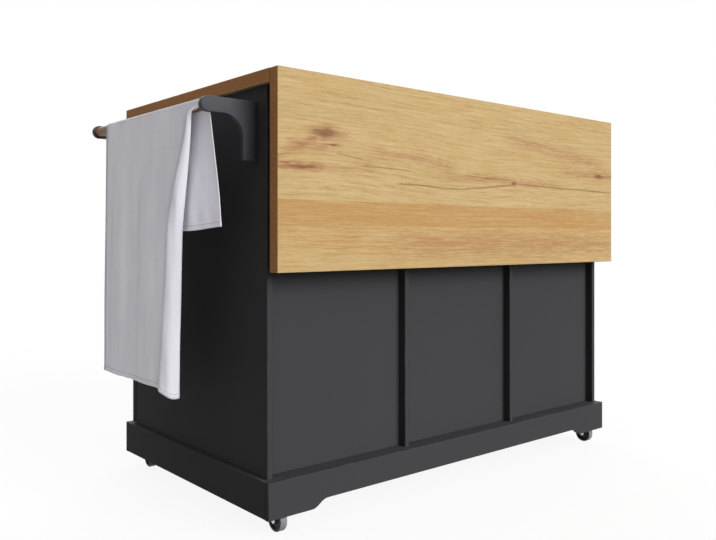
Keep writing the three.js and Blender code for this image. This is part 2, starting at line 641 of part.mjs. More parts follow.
/**
 * The towel as a closed sheet over the bar. Rows run from the inner hem, over the bar, to the outer hem;
 * columns run across, from the far edge to the near edge. Below the bar the outer drop's near part is
 * folded in behind the rest along a slanting ridge, and the inner drop leans away from the fold.
 */
function towelGeometry() {
  const SPANS = [6, 4, 4, 3, 5, 4]; // columns between one knot of the fold and the next
  const ACROSS = SPANS.reduce((a, b) => a + b);
  const INNER_ROWS = 7;
  const BAR_ROWS = 8;
  const OUTER_ROWS = 14;
  const ROW_CROWDING = 1.8; // the outer drop's rows crowd towards the bar, where the fold begins
  const half = TOWEL_THICKNESS / 2;
  const bend = BAR_RADIUS + FIT_GAP + half;
  const farEdge = bracketGap[0] + TOWEL_FAR_GAP;
  const width = bracketGap[1] - TOWEL_EDGE_GAP - farEdge;

  /** Places across the cloth where its heading in plan is given, as [place, degrees towards +X]. */
  function foldKnots(depth) {
    const beyond = Math.max(depth - FOLD_GAIN_DEPTH, 0);
    const fold = FOLD_AT_BAR + FOLD_GAIN * smooth(depth / FOLD_GAIN_DEPTH) + FOLD_SPREAD * beyond;
    const ridge = width - fold;
    return [
      [0, 0],
      [ridge - FOLD_RISE, 0],
      [ridge - FOLD_RIDGE * fold, FOLD_LIFT],
      [ridge + FOLD_RIDGE * fold, FOLD_FACE[1]],
      [ridge + FOLD_FACE[0] * fold, FOLD_FACE[2]],
      [ridge + FOLD_TURN[0] * fold, FOLD_TURN[1]],
      [width, FOLD_TURN[1]],
    ];
  }

  /** One row in plan, as [out, y, sag] for each column: side is -1 for the inner drop, 1 for the outer. */
  function planRow(side, depth) {
    const [turnFrom, turnTo] = FOLD_TURN_DEPTHS;
    const turned = side > 0 ? smooth((depth - turnFrom) / (turnTo - turnFrom)) : 0;
    const share = depth / (side > 0 ? TOWEL_OUTER_DROP : TOWEL_INNER_DROP);
    const waves = smooth(depth / TOWEL_INNER_DROP) * TOWEL_WAVE;
    const knots = foldKnots(depth);
    const points = [];
    let out = 0;
    let y = farEdge - (side > 0 ? TOWEL_DRIFT * share : 0);
    const place = (w) => {
      const wave = (waves * (1 - Math.cos((2 * Math.PI * w) / TOWEL_WAVE_WIDTH))) / 2;
      const swung = side < 0 ? share * smooth((w / width - LEAN_FROM) / (1 - LEAN_FROM)) : 0;
      const folded = side > 0 ? smooth((w - knots[2][0]) / (knots[4][0] - knots[2][0])) : 0;
      points.push([out + wave + TOWEL_LEAN * swung, y + TOWEL_FLARE * swung, FOLD_SAG * depth * folded]);
    };
    place(0);
    SPANS.forEach((columns, k) => {
      const [[from, heading], [to, next]] = [knots[k], knots[k + 1]];
      const step = (to - from) / columns;
      for (let i = 0; i < columns; i++) {
        const angle = turned * radians(heading + ((next - heading) * (i + 0.5)) / columns);
        out += step * Math.sin(angle);
        y += step * Math.cos(angle);
        place(from + (i + 1) * step);
      }
    });
    return points;
  }

  const rows = [];
  for (let i = 0; i <= INNER_ROWS; i++) {
    const depth = TOWEL_INNER_DROP * (1 - i / INNER_ROWS);
    rows.push(planRow(-1, depth).map(([out, y]) => [barX - bend - out, y, barZ - depth]));
  }
  for (let i = 1; i < BAR_ROWS; i++) {
    const angle = Math.PI * (1 - i / BAR_ROWS);
    const x = barX + bend * Math.cos(angle);
    const z = barZ + bend * Math.sin(angle);
    rows.push(planRow(1, 0).map(([, y]) => [x, y, z]));
  }
  for (let i = 0; i <= OUTER_ROWS; i++) {
    const depth = TOWEL_OUTER_DROP * (i / OUTER_ROWS) ** ROW_CROWDING;
    rows.push(planRow(1, depth).map(([out, y, sag]) => [barX + bend + out, y, barZ - depth - sag]));
  }

  const columns = ACROSS + 1;
  const at = (r, c) => new THREE.Vector3(...rows[r][c]);
  const outer = [];
  const inner = [];
  rows.forEach((row, r) =>
    row.forEach((_, c) => {
      const down = at(Math.min(r + 1, rows.length - 1), c).sub(at(Math.max(r - 1, 0), c));
      const across = at(r, Math.min(c + 1, ACROSS)).sub(at(r, Math.max(c - 1, 0)));
      const normal = across.cross(down).normalize().multiplyScalar(half);
      outer.push(...at(r, c).add(normal).toArray());
      inner.push(...at(r, c).sub(normal).toArray());
    }),
  );

  const count = rows.length * columns;
  const faces = [];
  const quad = (a, b, c, d) => faces.push(a, b, c, a, c, d);
  for (let r = 0; r < rows.length - 1; r++) {
    for (let c = 0; c < ACROSS; c++) {
      const a = r * columns + c;
      quad(a, a + 1, a + columns + 1, a + columns);
      quad(count + a, count + a + columns, count + a + columns + 1, count + a + 1);
    }
    const near = r * columns + ACROSS;
    const far = r * columns;
    quad(near, count + near, count + near + columns, near + columns);
    quad(far, far + columns, count + far + columns, count + far);
  }
  const last = (rows.length - 1) * columns;
  for (let c = 0; c < ACROSS; c++) {
    quad(c, count + c, count + c + 1, c + 1);
    quad(last + c, last + c + 1, count + last + c + 1, count + last + c);
  }
  const geometry = new THREE.BufferGeometry();
  geometry.setAttribute("position", new THREE.BufferAttribute(new Float32Array([...outer, ...inner]), 3));
  geometry.setIndex(faces);
  geometry.computeVertexNormals();
  return geometry;
}
add("towel", towelGeometry(), cotton);

// ---------------------------------------------------------------- casters
const housingTop = floorBottom - CASTER_PLATE_THICKNESS;
const kingpinTop = housingTop - HOUSING_ROOF - FIT_GAP;
const crownBottom = 2 * WHEEL_RADIUS + FORK_ROOM + FORK_BRIDGE;
const crownTop = crownBottom + CROWN_THICKNESS;
const housingBottom = crownTop + FIT_GAP;
const hubHalf = WHEEL_WIDTH / 2 + HUB_PROUD;
const cheekInner = hubHalf + FIT_GAP;
const cheekOuter = cheekInner + FORK_SHEET;

/** A fork cheek's outline, in (y, z) about the kingpin: wide under the crown, round at the axle. */
function cheekOutline() {
  const outline = new THREE.Shape();
  outline.moveTo(-FORK_HALF_LENGTH, crownBottom);
  outline.lineTo(-FORK_HALF_LENGTH, crownBottom - FORK_BRIDGE);
  outline.absarc(CASTER_TRAIL, WHEEL_RADIUS, FORK_FOOT_RADIUS, ...FORK_FOOT_ARC, false);
  outline.lineTo(CASTER_TRAIL + FORK_FOOT_RADIUS, crownBottom);
  outline.closePath();
  return outline;
}

const housingGeometry = () =>
  shaped(
    [
      block(
        [-CASTER_PLATE / 2, CASTER_PLATE / 2],
        [-CASTER_PLATE / 2, CASTER_PLATE / 2],
        [housingTop, floorBottom],
      ),
      rod("z", HOUSING_RADIUS, housingBottom, housingTop, [0, 0]),
    ],
    [rod("z", KINGPIN_RADIUS + FIT_GAP, housingBottom - CUT_OVER, kingpinTop + FIT_GAP, [0, 0])],
  );

const forkGeometry = () =>
  shaped([
    rod("z", KINGPIN_RADIUS, crownBottom, kingpinTop, [0, 0]),
    rod("z", CROWN_RADIUS, crownBottom, crownTop, [0, 0], CROWN_SIDES),
    block(
      [-cheekOuter, cheekOuter],
      [-FORK_HALF_LENGTH, CASTER_TRAIL + FORK_FOOT_RADIUS],
      [crownBottom - FORK_BRIDGE, crownBottom],
    ),
    alongX(cheekOutline(), -cheekOuter, -cheekInner),
    alongX(cheekOutline(), cheekInner, cheekOuter),
    rod("x", AXLE_RADIUS, -cheekOuter, cheekOuter, [CASTER_TRAIL, WHEEL_RADIUS]),
  ]);

/** The wheel, turned about X: a hub, a thin web and a tyre with rounded edges. */
function wheelGeometry() {
  const rim = WHEEL_RADIUS - TYRE_DEPTH;
  const halfWidth = WHEEL_WIDTH / 2;
  const bore = AXLE_RADIUS + FIT_GAP;
  const side = [
    [bore, hubHalf],
    [HUB_RADIUS, hubHalf],
    [HUB_RADIUS + WEB_EASE, WEB_HALF_WIDTH],
    [rim - WEB_EASE, WEB_HALF_WIDTH],
    [rim, halfWidth],
    [WHEEL_RADIUS - TYRE_EDGE, halfWidth],
    [WHEEL_RADIUS, halfWidth - TYRE_EDGE],
  ];
  const mirrored = side.map(([r, h]) => [r, -h]);
  const ring = [...mirrored, ...side.toReversed(), mirrored[0]];
  const profile = ring.map(([r, h]) => new THREE.Vector2(r, h));
  const turned = new THREE.LatheGeometry(profile, WHEEL_SIDES);
  return turned.rotateZ(-Math.PI / 2).translate(0, CASTER_TRAIL, WHEEL_RADIUS);
}

const fromBoard = CASTER_TRAIL + WHEEL_RADIUS - CASTER_OVERLAP;
const casterRows = { back: plinthInside[1] - fromBoard, front: plinthInside[0] + fromBoard };
for (const [row, y] of Object.entries(casterRows)) {
  for (const [side, sign] of sides) {
    const caster = new THREE.Group();
    caster.position.set(sign * (floorEnd - fromBoard), y, 0);
    island.add(caster);
    add(`caster_housing_${row}_${side}`, housingGeometry(), zinc, caster);
    add(`caster_fork_${row}_${side}`, forkGeometry(), zinc, caster);
    add(`caster_wheel_${row}_${side}`, wheelGeometry(), rubber, caster);
  }
}

// ---------------------------------------------------------------- origin: footprint middle, on the floor
const extent = new THREE.Box3().setFromObject(island);
const centre = extent.getCenter(new THREE.Vector3());
island.position.set(-centre.x, -centre.y, -extent.min.z);

export default island;
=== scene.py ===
# %% [markdown]
# # A drop leaf kitchen island
# The island is a painted cabinet on four casters, with an oak worktop, an oak leaf that hangs down its back and a
# towel bar on one end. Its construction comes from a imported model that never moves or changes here. Where the
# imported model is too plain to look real, a finer piece stands for it.

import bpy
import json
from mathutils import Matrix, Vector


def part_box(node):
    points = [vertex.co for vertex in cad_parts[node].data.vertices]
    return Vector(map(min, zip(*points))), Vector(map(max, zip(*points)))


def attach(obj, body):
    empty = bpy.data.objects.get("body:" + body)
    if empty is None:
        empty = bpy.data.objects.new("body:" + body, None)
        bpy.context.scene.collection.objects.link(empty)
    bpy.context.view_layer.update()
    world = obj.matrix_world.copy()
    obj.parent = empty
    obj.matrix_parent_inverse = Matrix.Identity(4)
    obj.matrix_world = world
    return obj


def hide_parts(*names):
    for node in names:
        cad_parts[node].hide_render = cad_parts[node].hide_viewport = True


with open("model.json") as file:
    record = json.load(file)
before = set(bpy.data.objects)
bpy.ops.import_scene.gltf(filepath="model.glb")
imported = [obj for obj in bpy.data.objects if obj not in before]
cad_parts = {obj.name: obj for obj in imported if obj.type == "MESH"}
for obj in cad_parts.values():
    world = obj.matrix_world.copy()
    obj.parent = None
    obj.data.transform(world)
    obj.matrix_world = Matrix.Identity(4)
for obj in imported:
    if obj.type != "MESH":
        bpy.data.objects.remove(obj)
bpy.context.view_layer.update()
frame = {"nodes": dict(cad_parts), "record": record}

# %% The other tools
import json  # noqa: E402
import math  # noqa: E402

import bmesh  # noqa: E402
import bpy  # noqa: E402
import numpy as np  # noqa: E402
from mathutils import Vector  # noqa: E402

MM = 0.001  # sizes below are written in millimetres where that reads better
scene = bpy.context.scene
scene.view_settings.view_transform = "Standard"  # a colour renders as it is written
slot_of = {part["node"]: part["material_slot"] for part in frame["record"]["subparts"]}
body_of = {node: body for body, nodes in frame["record"]["behaviour"]["bodies"].items() for node in nodes}


def corners(node):
    """A node's lowest and highest corner, as arrays."""
    return (np.array(corner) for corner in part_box(node))


def add(name, data):
    """A new object in the scene, from a mesh, a lamp or a camera."""
    made = bpy.data.objects.new(name, data)
    scene.collection.objects.link(made)
    return made

# %% [markdown]
# ## The camera
# The photograph was taken from behind the towel end, level with the middle of the cabinet. Two families of level
# edges run to two vanishing points, and they fix the direction and the lens. Upright edges stay upright in it, as
# with a view camera, so the camera looks level and its sensor is shifted down a little instead of tilting.

# %% Place the camera
CAMERA_FROM_LEAF = (0.8219, 1.2083)  # east and north of the leaf's near corner, in metres
CAMERA_HEIGHT = 0.5798
CAMERA_LOOK = Vector((-0.64504, -0.76414, 0))
LENS = 38.82  # mm, on a 36 mm sensor
HORIZON_SHIFT = -0.0451  # share of the picture's width
FAR_CLIP = 200  # metres, past the floor's far corners

_, leaf_corner = corners("drop_leaf")
camera = add("camera", bpy.data.cameras.new("camera"))
camera.location = (*(leaf_corner[:2] + CAMERA_FROM_LEAF), CAMERA_HEIGHT)
camera.rotation_euler = CAMERA_LOOK.to_track_quat("-Z", "Y").to_euler()
camera.data.lens = LENS
camera.data.shift_y = HORIZON_SHIFT
camera.data.clip_end = FAR_CLIP
scene.camera = camera
print("camera", [round(x, 3) for x in camera.location])

# %% [markdown]
# ## Shader sums as plain Python
# A procedural finish is a sum of noises, masks and colours. Written node by node it is hard to read, so a small
# class wraps one output socket and overloads the arithmetic signs: adding two wrapped sockets adds a Math node.
# Every other node comes from one method, which takes its kind, its settings and what goes into its sockets.


# %% A wrapped socket
class Wire:
    """One output socket of a material. Arithmetic on it adds Math nodes to the same tree."""

    def __init__(self, tree, socket):
        self.tree = tree
        self.socket = socket

    def node(self, kind, settings=None, sockets=None, output=0):
        """Adds a node: settings first, then values or wires by socket name or number. A ramp's stops are pairs of
        place and colour, and between_stops says how it passes from one to the next. Returns one output."""
        made = self.tree.nodes.new(kind)
        for key, value in (settings or {}).items():
            if key == "between_stops":
                made.color_ramp.interpolation = value
            elif key == "stops":
                ramp = made.color_ramp
                while len(ramp.elements) < len(value):
                    ramp.elements.new(1)
                for element, (place, colour) in zip(ramp.elements, value, strict=True):
                    element.position = place
                    element.color = (*colour, 1)
            else:
                setattr(made, key, value)
        for key, value in (sockets or {}).items():
            if isinstance(value, Wire):
                self.tree.links.new(value.socket, made.inputs[key])
            else:
                made.inputs[key].default_value = value
        return Wire(self.tree, made.outputs[output])

    def maths(self, operation, *values):
        """A Math node of one operation on up to three numbers or wires."""
        return self.node("ShaderNodeMath", {"operation": operation}, dict(enumerate(values)))

    def __add__(self, other):
        return self.maths("ADD", self, other)

    def __sub__(self, other):
        return self.maths("SUBTRACT", self, other)

    def __rsub__(self, other):
        return self.maths("SUBTRACT", other, self)

    def __mul__(self, other):
        return self.maths("MULTIPLY", self, other)

    def __truediv__(self, other):
        return self.maths("DIVIDE", self, other)

    def __pow__(self, other):
        return self.maths("POWER", self, other)

    __radd__ = __add__
    __rmul__ = __mul__


# %% Helpers that every finish uses
def srgb(text):
    """A colour as screens write it, such as "c8a070", turned into the linear numbers that shaders use."""
    shares = [int(text[i : i + 2], 16) / 255 for i in (0, 2, 4)]
    return (*(s / 12.92 if s <= 0.04045 else ((s + 0.055) / 1.055) ** 2.4 for s in shares), 1)


def mixed(factor, a, b):
    """A colour between a and b. Colours go through a Mix node, because a Math node would turn them grey."""
    a, b = (srgb(colour) if isinstance(colour, str) else colour for colour in (a, b))
    return factor.node("ShaderNodeMix", {"data_type": "RGBA"}, {0: factor, 6: a, 7: b}, output=2)


def step(wire, low, high):
    """0 where the wire is at or below low, 1 at or above high, and smooth in between."""
    settings = {"interpolation_type": "SMOOTHSTEP"}
    sockets = {"Value": wire, "From Min": low, "From Max": high}
    return wire.node("ShaderNodeMapRange", settings, sockets)


def noise(point, scale, detail, roughness=0.5, distortion=0.0):
    """Cloudy noise from 0 to 1 at a point. A scale for each axis makes it longer one way."""
    if isinstance(scale, tuple):
        point = point.node("ShaderNodeVectorMath", {"operation": "MULTIPLY"}, {0: point, 1: scale})
        scale = 1
    sockets = {"Vector": point, "Scale": scale, "Detail": detail, "Roughness": roughness, "Distortion": distortion}
    return point.node("ShaderNodeTexNoise", {}, sockets)


def separated(point):
    """The three parts of a vector, as wires."""
    parts = point.node("ShaderNodeSeparateXYZ", {}, {0: point}).socket.node
    return [Wire(point.tree, output) for output in parts.outputs]


def facing(point):
    """How much the surface faces along each axis, whichever way: the sizes of its normal's three parts."""
    normal = Wire(point.tree, point.socket.node.outputs["Normal"])
    return [part.maths("ABSOLUTE", part) for part in separated(normal)]


def total(wires):
    """The sum of a list of wires."""
    first, *others = wires
    return sum(others, first)


def largest(first, *others):
    """The largest of some wires."""
    for other in others:
        first = first.maths("MAXIMUM", first, other)
    return first


def sine(angle):
    """The sine of a wire, in radians."""
    return angle.maths("SINE", angle)


EDGE, FACE = 0.8, 0.98  # how squarely a surface faces the nearest axis where it is all edge or all face


def on_edge(point):
    """1 on the rounded edge of a board, where the normal turns between two axes, and 0 on its flat faces."""
    return 1 - step(largest(*facing(point)), EDGE, FACE)


def new_finish(name, reads="Object", **fixed):
    """A node material. What is the same all over is set on the shader's own sockets. Returns it and its point."""
    material = bpy.data.materials.new(name)
    material.use_nodes = True
    shader = material.node_tree.nodes["Principled BSDF"]
    for socket, value in fixed.items():
        shader.inputs[socket.replace("_", " ")].default_value = value
    coordinates = material.node_tree.nodes.new("ShaderNodeTexCoord")
    return material, Wire(material.node_tree, coordinates.outputs[reads])


def finish_with(material, height, depth, **wires):
    """Joins wires to the shader by socket name, and a height through a Bump node. Depth is its relief in metres."""
    shader = material.node_tree.nodes["Principled BSDF"]
    wires["Normal"] = height.node("ShaderNodeBump", {}, {"Height": height, "Distance": depth})
    for socket, wire in wires.items():
        material.node_tree.links.new(wire.socket, shader.inputs[socket.replace("_", " ")])
    print("finish", material.name, "has", len(material.node_tree.nodes), "nodes")
    return material


# %% [markdown]
# ## The studio
# The object stands on a white floor in front of white. One broad sun low behind the leaf side lights the long back
# face, and the towel end stays in shade, as in the photograph. A second, weaker one keeps the doors readable from
# the front, and a third lights the worktop from above. The floor is part diffuse, so it still takes a shadow, and
# part glow, so that it meets the white around it without a line. Both add up to white where nothing shades it.

# %% Light the object
AMBIENT = 0.2
SUNS = {  # direction towards the sun, level, width
    "key": ((-0.25, 0.9, 0.36), 0.88, 40),
    "fill": ((-0.6, -0.7, 0.4), 0.7, 60),
    "sky": ((0, 0, 1), 0.25, 90),
}
FLOOR_COLOUR = 0.9
FLOOR_BOUNCE = 0.2  # how much light the floor throws back at the object
FLOOR_SHADOW = 0.1  # share of the floor's picture that takes shadows


def add_sun(name, towards, level, width):
    """A sun in a direction. Level is the light on a face square to it, and width is the sun's, in degrees."""
    sun = add(name, bpy.data.lights.new(name, "SUN"))
    sun.data.energy = level * math.pi
    sun.data.angle = math.radians(width)
    sun.rotation_euler = (-Vector(towards)).to_track_quat("-Z", "Y").to_euler()
    return sun


for name, sun in SUNS.items():
    add_sun(name, *sun)


def seen_directly(wire):
    """1 for a ray that comes from the camera, a mirror-like face or through glass, and 0 for other light."""
    path = wire.node("ShaderNodeLightPath").socket.node
    rays = ["Is Camera Ray", "Is Glossy Ray", "Is Transmission Ray"]
    return largest(*(Wire(wire.tree, path.outputs[name]) for name in rays))


world = bpy.data.worlds.new("studio")
world.use_nodes = True
scene.world = world
background = world.node_tree.nodes["Background"]
background.inputs["Color"].default_value = (1, 1, 1, 1)
start = Wire(world.node_tree, None)  # no socket yet, only a tree to add nodes to
world_level = AMBIENT + seen_directly(start) * (1 - AMBIENT)
world.node_tree.links.new(world_level.socket, background.inputs["Strength"])

# %% Lay the floor
FLOOR_HALF = 60  # metres, far enough to meet the horizon

floor_mesh = bpy.data.meshes.new("floor")
floor_corners = [(x * FLOOR_HALF, y * FLOOR_HALF, 0) for x, y in ((-1, -1), (1, -1), (1, 1), (-1, 1))]
floor_mesh.from_pydata(floor_corners, [], [(0, 1, 2, 3)])
floor = add("floor", floor_mesh)
floor_material = bpy.data.materials.new("floor_white")
floor_material.use_nodes = True
tree = floor_material.node_tree
tree.nodes.remove(tree.nodes["Principled BSDF"])
start = Wire(tree, None)
upward = AMBIENT + sum(level * Vector(towards).normalized().z for towards, level, _ in SUNS.values())
glow = (1 - FLOOR_SHADOW * FLOOR_COLOUR * upward) / (1 - FLOOR_SHADOW)
seen = seen_directly(start)
floor_colour = mixed(seen, (*[FLOOR_BOUNCE] * 3, 1), (*[FLOOR_COLOUR] * 3, 1))
diffuse = start.node("ShaderNodeBsdfDiffuse", {}, {"Color": floor_colour})
white = start.node("ShaderNodeEmission", {}, {"Strength": glow})
floor_shader = start.node("ShaderNodeMixShader", {}, {0: seen * (1 - FLOOR_SHADOW), 1: diffuse, 2: white})
tree.links.new(floor_shader.socket, tree.nodes["Material Output"].inputs["Surface"])
floor_mesh.materials.append(floor_material)
print("light on the floor", round(upward, 2), "glow", round(glow, 2))

# %% [markdown]
# ## Charcoal paint
# All the cabinet's boards are fibreboard under one coat of dark satin paint. A roller leaves a fine stipple in such
# a coat, its depth of colour drifts a little from place to place, and the edges are painted paler: partly as wear
# from hands and brooms, partly as a painted highlight where a rounded edge would catch the light. The stipple is a
# fine noise as relief, the drift a broad noise between two near greys, and the paler places are where the normal
# turns round an edge. The shader's mirror part is kept low, as a satin paint in the photograph.


# %% Mix the paint
def charcoal_paint():
    """Two near greys that drift, a fine stipple over them, and paler edges: partly wear, partly painted highlight.
    """
    material, point = new_finish("charcoal_paint", Specular_IOR_Level=0.02)
    drift = noise(point, 2.5, 3)
    stipple = noise(point, 650, 2)
    # Paler edges: partly wear, partly painted highlight where a rounded edge would catch the light
    worn_and_highlit = on_edge(point) * step(noise(point, 30, 4), 0.45, 0.7)
    colour = mixed(step(drift, 0.3, 0.7), "404042", "444446")
    colour = mixed(stipple, colour, "48484a")
    # The pale grey of the edges: painted highlight and wear
    colour = mixed(worn_and_highlit * 0.6, colour, "66666a")
    roughness = 0.48 + drift * 0.08 + stipple * 0.06 - worn_and_highlit * 0.1
    return finish_with(material, stipple, depth=0.05 * MM, Base_Color=colour, Roughness=roughness)


FINISHES = {"painted_board": charcoal_paint()}

# %% [markdown]
# ## Oak
# Worktop and leaf are glued up from long staves, and each stave has its own tint and its own run of grain. A ramp
# with constant steps, read across the board, hands every stave three numbers: how dark it is, how warm, and how far
# its grain is shifted, so that the grain breaks at the glue line. The grain is built up in layers, from broad to
# fine: growth rings as a sine of the place across the board, bundles of fibres and single fibres as noises drawn out
# along the length, and pores as short dark dashes. All of them read the same bent place across the board. A slow
# noise bends it a little, and each knot lifts it, so that every layer arches round the knots as grown wood does.
# Knots and their reddish flames have ragged outlines, because the place they read is shaken by a coarse noise, and
# the flames only stain the darker threads. On the end faces the fibres are seen from their ends, so dots take the
# place of lines.

# %% Marks in the wood
CORE = 0.35  # share of a spot's radii that is all spot
TAPER = 0.15  # share of a line's length at each end


def blot(along, across, place, radii):
    """A soft oval spot: 1 at its middle and 0 past its radii, in metres."""
    dx = (along - place[0]) / radii[0]
    dy = (across - place[1]) / radii[1]
    square = dx * dx + dy * dy
    return 1 - step(square.maths("SQRT", square), CORE, 1.0)


def streak(along, across, start, end, width):
    """A thin line with tapered ends: near the straight way from start to end, in metres."""
    sockets = {"Value": along, "From Min": start[0], "From Max": end[0], "To Min": start[1], "To Max": end[1]}
    line = along.node("ShaderNodeMapRange", {}, sockets)
    distance = across.maths("ABSOLUTE", across - line)
    taper = TAPER * (end[0] - start[0])
    begun = step(along, start[0], start[0] + taper)
    ended = step(along, end[0] - taper, end[0])
    return (1 - step(distance, 0, width)) * begun * (1 - ended)


# %% Glue up the oak
PALE, MIDDLE, DARK, WARM = "d9bf8e", "bd9c68", "9d7843", "c18f55"
KNOT, LINE, FLAME = "835a44", "8a5f33", "ad7a55"
ENDS, END_PORES = "cb8f5b", "8e5f33"

# Features in a metre: along the grain, across it and through the board
SLOW, CLOUDS, BUNDLES, FIBRES = (1.6, 5, 5), (2.5, 14, 14), (11, 330, 330), (45, 620, 620)
PORES, END_DOTS, RING_DRIFT, SHAKE = (45, 1500, 1500), (40, 900, 900), (2, 30, 30), (22, 70, 70)
RINGS, RING_WANDER = 620, 7  # radians in a metre across the grain, and radians that a noise adds
JUMP_ALONG, JUMP_ACROSS, JUMP_PHASE = 7, 3, 40  # what a stave's shift is worth, in metres and radians
BENT = 22 * MM  # how far the slow noise bends the grain
ARCH_REACH, ARCH_LIFT = 12, 1.2  # of a knot's radii: how far round it the grain is lifted, and how high
SHAKEN_ALONG, SHAKEN_ACROSS = 50 * MM, 18 * MM
LINE_DRIFT = 14 * MM
PORE_DEPTH = 0.12 * MM


def oak(name, across_axis, extent, staves, knots, streaks, flames):
    """Oak with its length along X. Staves are (start, darkness, warmth, shift), from the extent's low end."""
    material, point = new_finish(name, Specular_IOR_Level=0.04)
    x, y, z = separated(point)
    across, through = (y, z) if across_axis == "y" else (z, y)
    low, high = extent
    share = across.node("ShaderNodeMapRange", {}, {"Value": across, "From Min": low, "From Max": high})
    stops = [((start - low) / (high - low), numbers) for start, *numbers in staves]
    ramp = share.node("ShaderNodeValToRGB", {"stops": stops, "between_stops": "CONSTANT"}, {0: share})
    darkness, warmth, shift = separated(ramp)

    lifted = [(place, [ARCH_REACH * r for r in radii], ARCH_LIFT * radii[1]) for place, radii in knots]
    arch = total([blot(x, across, place, radii) * height for place, radii, height in lifted])
    slow = noise(point, SLOW, 2)
    grain = across - arch + (slow - 0.5) * BENT
    jumped = {0: x + shift * JUMP_ALONG, 1: grain + shift * JUMP_ACROSS, 2: through}
    board = point.node("ShaderNodeCombineXYZ", {}, jumped)
    phase = grain * RINGS + shift * JUMP_PHASE + noise(board, RING_DRIFT, 2) * RING_WANDER
    rings = sine(phase) * 0.5 + 0.5
    bundles = noise(board, BUNDLES, 3, 0.6)
    fibres = noise(board, FIBRES, 3, 0.6)
    pores = step(noise(board, PORES, 2), 0.6, 0.72)
    clouds = noise(board, CLOUDS, 3)
    tone = rings * 0.13 + step(bundles, 0.34, 0.68) * 0.45 + step(fibres, 0.35, 0.7) * 0.35 + clouds * 0.5 - 0.22

    colour = mixed(tone, PALE, MIDDLE)
    colour = mixed(darkness + step(tone, 0.6, 1.15) * 0.35, colour, DARK)
    colour = mixed(warmth * (tone * 0.9 + clouds * 0.9), colour, WARM)
    colour = mixed(pores * 0.3, colour, DARK)

    shaken = noise(point, SHAKE, 3) - 0.5
    ragged_x, ragged = x + shaken * SHAKEN_ALONG, across + shaken * SHAKEN_ACROSS
    glow = total([streak(x, ragged, *way) for way in flames])
    halo = total([blot(ragged_x, ragged, place, [2 * r for r in radii]) for place, radii in knots])
    threads = 0.25 + step(bundles, 0.38, 0.62) * 0.5 + step(fibres, 0.4, 0.6) * 0.5
    colour = mixed((glow * 0.5 + halo * 0.55) * threads, colour, FLAME)
    drifted = across + (slow + clouds - 1) * LINE_DRIFT
    lines = total([streak(x, drifted, *way) for way in streaks])
    colour = mixed(lines * (0.3 + fibres * 0.8), colour, LINE)
    spots = total([blot(ragged_x, ragged, *knot) for knot in knots])
    colour = mixed(spots * (0.55 + fibres * 0.5), colour, KNOT)

    end_dots = step(noise(point, END_DOTS, 2), 0.5, 0.68)
    end_face, _, _ = facing(point)
    end_colour = mixed(end_dots * 0.6 + rings * 0.1, ENDS, END_PORES)
    colour = mixed(step(end_face, 0.75, 0.9), colour, end_colour)
    colour = mixed(on_edge(point) * 0.25, colour, MIDDLE)
    relief = fibres - pores * 0.8 - spots * 0.5
    roughness = 0.42 + fibres * 0.12 + pores * 0.15
    return finish_with(material, relief, depth=PORE_DEPTH, Base_Color=colour, Roughness=roughness)


# %% The leaf's staves, knots and streaks
leaf_low, leaf_high = corners("drop_leaf")
LEAF_STAVES = [  # start above the leaf's bottom edge in mm, darkness, warmth, shift
    (0, 0.03, 0.2, 0.13),
    (45, 0.0, 0.35, 0.71),
    (89, 0.1, 0.62, 0.37),
    (140, 0.02, 0.04, 0.93),
    (190, 0.04, 0.05, 0.29),
    (243, 0.0, 0.12, 0.55),
    (293, 0.04, 0.04, 0.05),
    (343, 0.0, 0.15, 0.83),
]
LEAF_KNOTS = [  # place from the leaf's middle and above its bottom edge, radii along and across the grain
    ((450, 273), (40, 13)),
    ((436, 252), (15, 4)),
    ((514, 206), (44, 6)),
    ((-137, 200), (11, 6)),
    ((-503, 238), (14, 7)),
]
LEAF_STREAKS = [  # from, to, half width
    ((210, 214), (370, 215), 2.4),
    ((352, 229), (432, 240), 2),
    ((40, 178), (275, 184), 3.2),
    ((-150, 197), (70, 178), 3.2),
    ((-590, 192), (-110, 199), 3.4),
    ((-140, 205), (60, 213), 2.4),
    ((-585, 240), (-470, 237), 3.6),
]
LEAF_FLAMES = [  # from, to, half width
    ((465, 270), (592, 210), 16),
    ((440, 243), (560, 250), 18),
    ((300, 212), (612, 202), 12),
    ((60, 226), (350, 254), 16),
    ((-560, 262), (-60, 318), 26),
    ((-600, 236), (-300, 242), 18),
    ((-360, 202), (160, 206), 14),
    ((-640, 44), (330, 52), 44),
]


def glued(name, across_axis, low, high, staves, knots, streaks, flames):
    """The oak of one board. Places in the lists are in mm from its middle along X and its low edge across."""
    start = low["xyz".index(across_axis)]
    end = high["xyz".index(across_axis)]

    def placed(place):
        return (low[0] + high[0]) / 2 + place[0] * MM, start + place[1] * MM

    def lines(marks):
        return [(placed(first), placed(last), width * MM) for first, last, width in marks]

    staves = [(start + place * MM, *numbers) for place, *numbers in staves]
    knots = [(placed(place), [r * MM for r in radii]) for place, radii in knots]
    return oak(name, across_axis, (start, end), staves, knots, lines(streaks), lines(flames))


leaf_oak = glued("leaf_oak", "z", leaf_low, leaf_high, LEAF_STAVES, LEAF_KNOTS, LEAF_STREAKS, LEAF_FLAMES)

